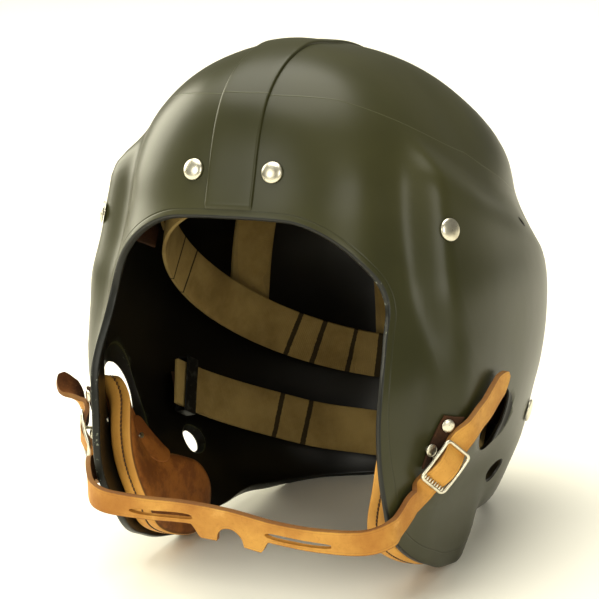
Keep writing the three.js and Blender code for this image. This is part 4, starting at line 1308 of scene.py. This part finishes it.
def make_strap(sizes, materials):
    """The chin strap: a grid along its route, with slots and a toothed chin."""
    points, normals, places = smooth_route(strap_route(), 0.75)
    chin = int(np.argmin(np.abs(points[:, 0]) + 1e3 * (points[:, 1] > -60)))
    d = places - places[chin]
    ends = np.minimum(places, places[-1] - places)
    tip = np.minimum(1, np.sqrt(0.06 + ends / 8.5))
    lines, slotted = strap_lines(d, tip, sizes.strap_width * 1000)
    sideways, off = ribbon_frames(points, normals)
    grid = points[:, None] + sideways[:, None] * lines[:, :, None]
    columns = lines.shape[1]
    near_edge = np.abs(np.minimum(lines - lines[:, :1], lines[:, -1:] - lines))
    obj = bent_grid("chin_strap_fine", grid, off[len(off) // 2])
    set_mark(obj, "edge", near_edge)

    def in_slot(face):
        row, column = divmod(min(face.vertices), columns)
        return slotted[row] and column == SLOT["column"]

    delete_faces(obj, in_slot)
    for material in materials:
        obj.data.materials.append(material)
    thicken(obj, sizes.strap_thickness, 0.0005, segments=3, offset=0, material_offset=1)
    return smooth(obj, 50)


def pad_skin(y, z):
    """How far out the inside of the flap lies at a place in the side view."""
    d = np.array([100.0, y, z])
    for _ in range(12):
        d[0] *= np.linalg.norm(on_surface(d)) / np.linalg.norm(d)
    return d[0] - (WALL + PAD_GAP) / surface_normal(d)[0]


def pad_rim(count, side):
    """Even points on a jaw pad's outline in the side view."""
    outline = [(0, y - PAD_FORWARD[side], z) for y, z in JAW_PAD]
    return even_loop(closed_spline(outline, 20), count)


# share of the outline, then the depth from the flap: a gusset with a seam, then the face
PAD_RINGS = [
    (0.3, 0), (0.6, 0), (0.85, 0), (0.95, 0.2), (0.985, 0.8), (1.0, 2.2), (1.005, 4.4),
    (0.998, 6.2), (0.986, 6.8), (0.986, 7.2), (0.998, 7.8), (1.005, 9.6), (1.0, 11.6),
    (0.985, 12.5), (0.965, 12.6), (0.945, 12.9), (0.9, 13.6), (0.8, 14.1), (0.6, 14.4),
    (0.3, 14.5),
]
PAD_DEEP = 14.6
PAD_GAP = 1.1
PAD_TAB = [
    (-48, -79), (-45, -77), (-41, -76.3), (-38, -78), (-35.5, -82), (-32.5, -87), (-30, -92),
    (-28, -97), (-33, -100.5), (-40, -100), (-46, -96), (-49, -88),
]
PAD_TAB_RIVET = (-45.6, -87)


def pad_body(side, name):
    """The jaw pad's skin: a loft of rings between the flap and the face side."""
    count = 128
    rim = pad_rim(count, side)
    middle = rim.mean(0)
    rings = []
    for scale, depth in PAD_RINGS:
        flat = middle + (rim - middle) * scale
        rings.append([(side * (pad_skin(y, z) - depth), y, z) for _, y, z in flat])
    ends = [(side * (pad_skin(*middle[1:]) - depth), *middle[1:]) for depth in (0, PAD_DEEP)]
    obj, _ = loft(name, ends[0], rings, ends[1])
    depths = np.repeat([d for _, d in PAD_RINGS], count)
    set_mark(obj, "depth", np.concatenate(([0.0], depths, [PAD_DEEP])))
    return smooth(apply_modifier(tidy(obj), "SUBSURF", levels=1), 60)


def pad_stitches(side, name):
    """Waxed stitches over the seam around the pad's gusset."""
    rim = pad_rim(240, side)
    middle = rim.mean(0)
    master = sized(bpy.ops.mesh.primitive_uv_sphere_add, "Stitch", (0.0009, 0.0022, 0.0009),
                   segments=8, ring_count=6, radius=0.5)
    parts = []
    for i in range(0, 240, 2):
        q, ahead = (middle + (rim[j % 240] - middle) * 0.993 for j in (i, i + 1))
        way = unit(ahead - q)
        spot = np.array([side * (pad_skin(q[1], q[2]) - 7.0), q[1], q[2]])
        out = np.cross([1.0, 0, 0], way)
        parts.append(copy_to(master, "Stitch", frame_matrix(spot, np.cross(way, out), way, out)))
    bpy.data.objects.remove(master)
    return join(name, parts)


def pad_tab(side, name):
    """The small leather flap on the pad's face."""
    edge = [(side * (pad_skin(y, z) - 14.2), y, z) for y, z in PAD_TAB]
    obj = mesh_from(name, world(closed_spline(edge, 6)), [tuple(range(6 * len(edge)))])
    thicken(obj, 0.0022, 0.0006, segments=3, offset=0)
    return smooth(tidy(obj), 50)


def pad_tab_rivet(side, name):
    y, z = PAD_TAB_RIVET
    spot = (side * (pad_skin(y, z) - 15.2), y, z)
    obj = sized(bpy.ops.mesh.primitive_uv_sphere_add, name, (0.0058, 0.0058, 0.0024),
                segments=24, ring_count=12, radius=0.5)
    put(obj, frame_matrix(spot, (0, 1, 0), (0, 0, 1), (1, 0, 0)))
    return smooth(obj, 60)


def tab_on_shell(side, rows, columns):
    """The buckle tab's grid, flat on the shell, raked along its two studs."""
    out = []
    for i in range(rows + 1):
        t = i / rows
        turns = (BUCKLE_TAB["turn"] + BUCKLE_TAB["wide"] * np.arange(columns + 1) / columns
                 - BUCKLE_TAB["rake"] * t)
        height = np.full(columns + 1, BUCKLE_TAB["top"] - BUCKLE_TAB["tall"] * t)
        out.append(on_shell(side * turns, height, BUCKLE_TAB["out"]))
    return np.array(out)


# ------------------------------------------------------------------ settings


def length(name, description, default, low, high):
    return bpy.props.FloatProperty(name=name, description=description, default=default, min=low,
                                   max=high, subtype="DISTANCE", unit="LENGTH", precision=4)


def colour(name, description, r, g, b):
    return bpy.props.FloatVectorProperty(name=name, description=description, size=3, min=0,
                                         max=1, default=tone(r, g, b)[:3], subtype="COLOR")


class HelmetSizes(bpy.types.PropertyGroup):
    """Sizes that a user may change."""

    webbing_width: length("Webbing width", "Width of the bands", 0.025, 0.01, 0.05)
    webbing_thickness: length("Webbing thickness", "Thickness of the bands", 0.002, 0.001, 0.004)
    leather_thickness: length("Tab thickness", "Thickness of the tabs", 0.0018, 0.001, 0.003)
    strap_width: length("Strap width", "Width of the chin strap", 0.0126, 0.008, 0.025)
    strap_thickness: length("Strap thickness", "Thickness of the strap", 0.0026, 0.001, 0.004)


class HelmetColours(bpy.types.PropertyGroup):
    """Colours that a user may change."""

    shell_dark: colour("Shell, dark", "Deeper tone of the shell", 46, 46, 24)
    shell_light: colour("Shell, light", "Paler tone of the shell", 58, 57, 31)
    webbing_dark: colour("Webbing, dark", "Soiled tone of the webbing", 124, 100, 52)
    webbing_light: colour("Webbing, light", "Clean tone of the webbing", 170, 144, 86)
    leather_dark: colour("Leather, dark", "Deeper tone of the leather", 166, 108, 36)
    leather_light: colour("Leather, light", "Paler tone of the leather", 206, 152, 68)
    nickel: colour("Nickel", "Tone of the plated metal", 222, 217, 198)
    floor: colour("Floor", "Tone of the floor", 250, 247, 236)


# ------------------------------------------------------------------ operators


class HELMET_OT_shell(bpy.types.Operator):
    """Add the moulded shell with its raised strip and holes."""

    bl_idname = "helmet.add_shell"
    bl_label = "Shell"

    def execute(self, context):
        shell = shell_wall()
        tidy(shell)
        drill_shell(shell)
        stand_flat(shell)
        shell = join("helmet_shell", [shell, crown_strip()])
        smooth(shell, 40)
        finish_piece(shell, "shell", "shell",
                     materials=[paint("shell", shell_paint, context.scene.helmet_colours)])
        return {"FINISHED"}


class HELMET_OT_rivets(bpy.types.Operator):
    """Add the domed rivets and the jaw studs."""

    bl_idname = "helmet.add_rivets"
    bl_label = "Rivets and studs"

    def execute(self, context):
        metal = paint("nickel", nickel_plate, context.scene.helmet_colours)
        for kind, pins in (("rivet", RIVETS), ("stud", STUDS)):
            for key, pin in pins.items():
                master = turned("Master", rivet_profile(pin))
                for name, side in SIDES:
                    place = shell_frame(side, pin["turn"], pin["height"], pin.get("out", 0))
                    obj = copy_to(master, f"{key}_{kind}_{name}_fine", place)
                    finish_piece(obj, "nickel", f"{key}_{kind}_{name}", materials=[metal])
                bpy.data.objects.remove(master)
        return {"FINISHED"}


class HELMET_OT_webbing(bpy.types.Operator):
    """Add the headband, the neck band and the crown straps."""

    bl_idname = "helmet.add_webbing"
    bl_label = "Webbing"

    def execute(self, context):
        sizes, colours = context.scene.helmet_sizes, context.scene.helmet_colours
        width, thick = sizes.webbing_width * 1000, sizes.webbing_thickness * 1000
        points, normals = headband_at(np.arange(280) / 280 * 360)
        loop = ribbon("headband_fine", points, normals, width, thick, looped=True)
        finish_piece(loop, "webbing", "headband",
                     materials=[paint("headband", webbing_cloth, colours, "headband_webbing",
                                      HEADBAND_MARKS)])
        points, normals, _ = neck_route()
        nape = ribbon("neck_band_fine", points, normals, width, thick)
        finish_piece(nape, "webbing", "neck_band",
                     materials=[paint("neck", webbing_cloth, colours, "neck_webbing",
                                      NECK_MARKS)])
        for node, (angle, layer) in CROWN_STRAPS.items():
            places, outs = crown_strap_grid(angle, layer, 120, 6, width)
            middle = outs[len(outs) // 2, 3]
            strap = band(node + "_fine", places, middle, thick)
            finish_piece(strap, "webbing", node,
                         materials=[paint("crown", webbing_cloth, colours)])
        return {"FINISHED"}


class HELMET_OT_tabs(bpy.types.Operator):
    """Add the leather tabs that hold the webbing and the buckles."""

    bl_idname = "helmet.add_tabs"
    bl_label = "Leather tabs"

    def execute(self, context):
        thick = context.scene.helmet_sizes.leather_thickness * 1000
        brown = paint("brown", brown_leather)
        for name, side in SIDES:
            normal = headband_at(np.array(64.0 * side))
            end = normal[0] + normal[1] * 6
            points, normals, _ = tab_route(RIVETS["temple"], side, end, normal[1])
            tab = ribbon(f"temple_tab_{name}_fine", points, normals, 14, thick)
            finish_piece(tab, "dark_leather", f"temple_tab_{name}", materials=[brown])
            middle, _, normal = neck_place(side, 0.02)
            points, normals, _ = tab_route(RIVETS["rear"], side, middle + normal * 5, normal)
            tab = ribbon(f"neck_tab_{name}_fine", points, normals, 15, thick)
            finish_piece(tab, "dark_leather", f"neck_tab_{name}", materials=[brown])
            tab = band(f"buckle_tab_{name}_fine", tab_on_shell(side, 24, 16),
                       normal_at(side * 60, -33), 1.5)
            finish_piece(tab, "dark_leather", f"buckle_tab_{name}", materials=[brown])
        return {"FINISHED"}


class HELMET_OT_clips(bpy.types.Operator):
    """Add the folded metal clips at the neck band's ends."""

    bl_idname = "helmet.add_clips"
    bl_label = "Neck clips"

    def execute(self, context):
        metal = paint("clip", dark_metal)
        for name, side in SIDES:
            clip = sized(bpy.ops.mesh.primitive_cube_add, f"neck_clip_{name}_fine",
                         CLIP_SIZE, size=1)
            delete_faces(clip, lambda face: abs(face.normal.y) > 0.9)
            thicken(clip, 0.0009, 0.0004, segments=3, limit=30, offset=-1)
            middle, forward, normal = neck_place(side, 0.035)
            put(clip, frame_matrix(middle, normal, forward, np.cross(normal, forward)))
            smooth(clip, 40)
            finish_piece(clip, "clip", f"neck_clip_{name}", materials=[metal])
        return {"FINISHED"}


class HELMET_OT_jaw_pads(bpy.types.Operator):
    """Add the padded leather jaw pads."""

    bl_idname = "helmet.add_jaw_pads"
    bl_label = "Jaw pads"

    def execute(self, context):
        leather = paint("pad", pad_leather, context.scene.helmet_colours)
        for name, side in SIDES:
            pad = pad_body(side, f"jaw_pad_{name}_fine")
            finish_piece(pad, "leather", f"jaw_pad_{name}", materials=[leather])
            stitches = pad_stitches(side, f"jaw_pad_stitches_{name}")
            finish_piece(stitches, None, materials=[paint("thread", thread)])
        tab = pad_tab(-1, "jaw_pad_tab_right")
        finish_piece(tab, "dark_leather", materials=[leather])
        rivet = pad_tab_rivet(-1, "jaw_pad_rivet_right")
        metal = paint("nickel", nickel_plate, context.scene.helmet_colours)
        finish_piece(rivet, "nickel", materials=[metal])
        return {"FINISHED"}


class HELMET_OT_chin_strap(bpy.types.Operator):
    """Add the slotted leather chin strap."""

    bl_idname = "helmet.add_chin_strap"
    bl_label = "Chin strap"

    def execute(self, context):
        leather = paint("strap", tan_leather, context.scene.helmet_colours)
        strap = make_strap(context.scene.helmet_sizes, [leather, paint("flesh", flesh_side)])
        finish_piece(strap, "leather", "chin_strap")
        return {"FINISHED"}


class HELMET_OT_buckles(bpy.types.Operator):
    """Add the nickel buckles."""

    bl_idname = "helmet.add_buckles"
    bl_label = "Buckles"

    def execute(self, context):
        metal = paint("nickel", nickel_plate, context.scene.helmet_colours)
        for name, side in SIDES:
            obj = make_buckle(side, f"buckle_{name}_fine")
            finish_piece(obj, "nickel", f"buckle_{name}", materials=[metal])
        return {"FINISHED"}


def camera_axes():
    """The camera's right, up and back in the head's frame, and its place."""
    a, e, roll = (math.radians(CAMERA[key]) for key in ("turn", "rise", "roll"))
    back = np.array([math.sin(a) * math.cos(e), -math.cos(a) * math.cos(e), math.sin(e)])
    level = np.array([math.cos(a), math.sin(a), 0])
    up = np.cross(back, level)
    right = math.cos(roll) * level - math.sin(roll) * up
    above = math.sin(roll) * level + math.cos(roll) * up
    origin = -CAMERA["aim"][0] * right - CAMERA["aim"][1] * above + CAMERA["far"] * back
    return right, above, back, origin


def area_light(name, place, aim, size, power, warm):
    """A round area light that faces its aim."""
    bpy.ops.object.light_add(type="AREA", location=place)
    lamp = bpy.context.object
    lamp.name = name
    lamp.data.shape = "DISK"
    lamp.data.size = size
    lamp.data.energy = power
    lamp.data.color = warm
    way = Vector(aim) - Vector(place)
    lamp.rotation_euler = way.to_track_quat("-Z", "Y").to_euler()


class HELMET_OT_stage(bpy.types.Operator):
    """Add the floor, the lights and the camera."""

    bl_idname = "helmet.add_stage"
    bl_label = "Stage"

    def execute(self, context):
        deselect()
        bpy.ops.mesh.primitive_plane_add(size=9, location=(0, 0, 0))
        floor = named("Floor")
        floor.data.materials.append(paint("floor", pale_floor, context.scene.helmet_colours))
        for light in LIGHTS:
            area_light(*light)
        sky = bpy.data.worlds.new("Studio")
        sky.use_nodes = True
        glow = sky.node_tree.nodes["Background"].inputs
        glow["Color"].default_value = (1, 0.97, 0.85, 1)
        glow["Strength"].default_value = 0.2
        context.scene.world = sky
        context.scene.view_settings.view_transform = "Standard"
        right, above, back, origin = camera_axes()
        bpy.ops.object.camera_add()
        camera = bpy.context.object
        camera.name = "Photo camera"
        camera.matrix_world = frame_matrix(origin, right, above, back)
        camera.data.lens = camera.data.sensor_width * LENS_OVER_FRAME
        camera.data.clip_end = 20
        context.scene.camera = camera
        return {"FINISHED"}


OPERATORS = (
    HELMET_OT_shell, HELMET_OT_rivets, HELMET_OT_webbing, HELMET_OT_tabs, HELMET_OT_clips,
    HELMET_OT_jaw_pads, HELMET_OT_chin_strap, HELMET_OT_buckles, HELMET_OT_stage,
)


class HELMET_PT_panel(bpy.types.Panel):
    """Lists the helmet's pieces and settings in the sidebar."""

    bl_idname = "HELMET_PT_panel"
    bl_label = "Football helmet"
    bl_space_type = "VIEW_3D"
    bl_region_type = "UI"
    bl_category = "Helmet"

    def draw(self, context):
        for group in (context.scene.helmet_sizes, context.scene.helmet_colours):
            box = self.layout.box()
            for key in group.bl_rna.properties.keys():
                if key not in ("rna_type", "name"):
                    box.prop(group, key)
        for kind in OPERATORS:
            self.layout.operator(kind.bl_idname)


CLASSES = (HelmetSizes, HelmetColours, *OPERATORS, HELMET_PT_panel)


def register():
    for kind in CLASSES:
        bpy.utils.register_class(kind)
    bpy.types.Scene.helmet_sizes = bpy.props.PointerProperty(type=HelmetSizes)
    bpy.types.Scene.helmet_colours = bpy.props.PointerProperty(type=HelmetColours)


def unregister():
    del bpy.types.Scene.helmet_sizes
    del bpy.types.Scene.helmet_colours
    for kind in reversed(CLASSES):
        bpy.utils.unregister_class(kind)


def main():
    register()
    for add_piece in (
        bpy.ops.helmet.add_shell, bpy.ops.helmet.add_rivets, bpy.ops.helmet.add_webbing,
        bpy.ops.helmet.add_tabs, bpy.ops.helmet.add_clips, bpy.ops.helmet.add_jaw_pads,
        bpy.ops.helmet.add_chin_strap, bpy.ops.helmet.add_buckles, bpy.ops.helmet.add_stage,
    ):
        add_piece()


if __name__ == "__main__":
    main()
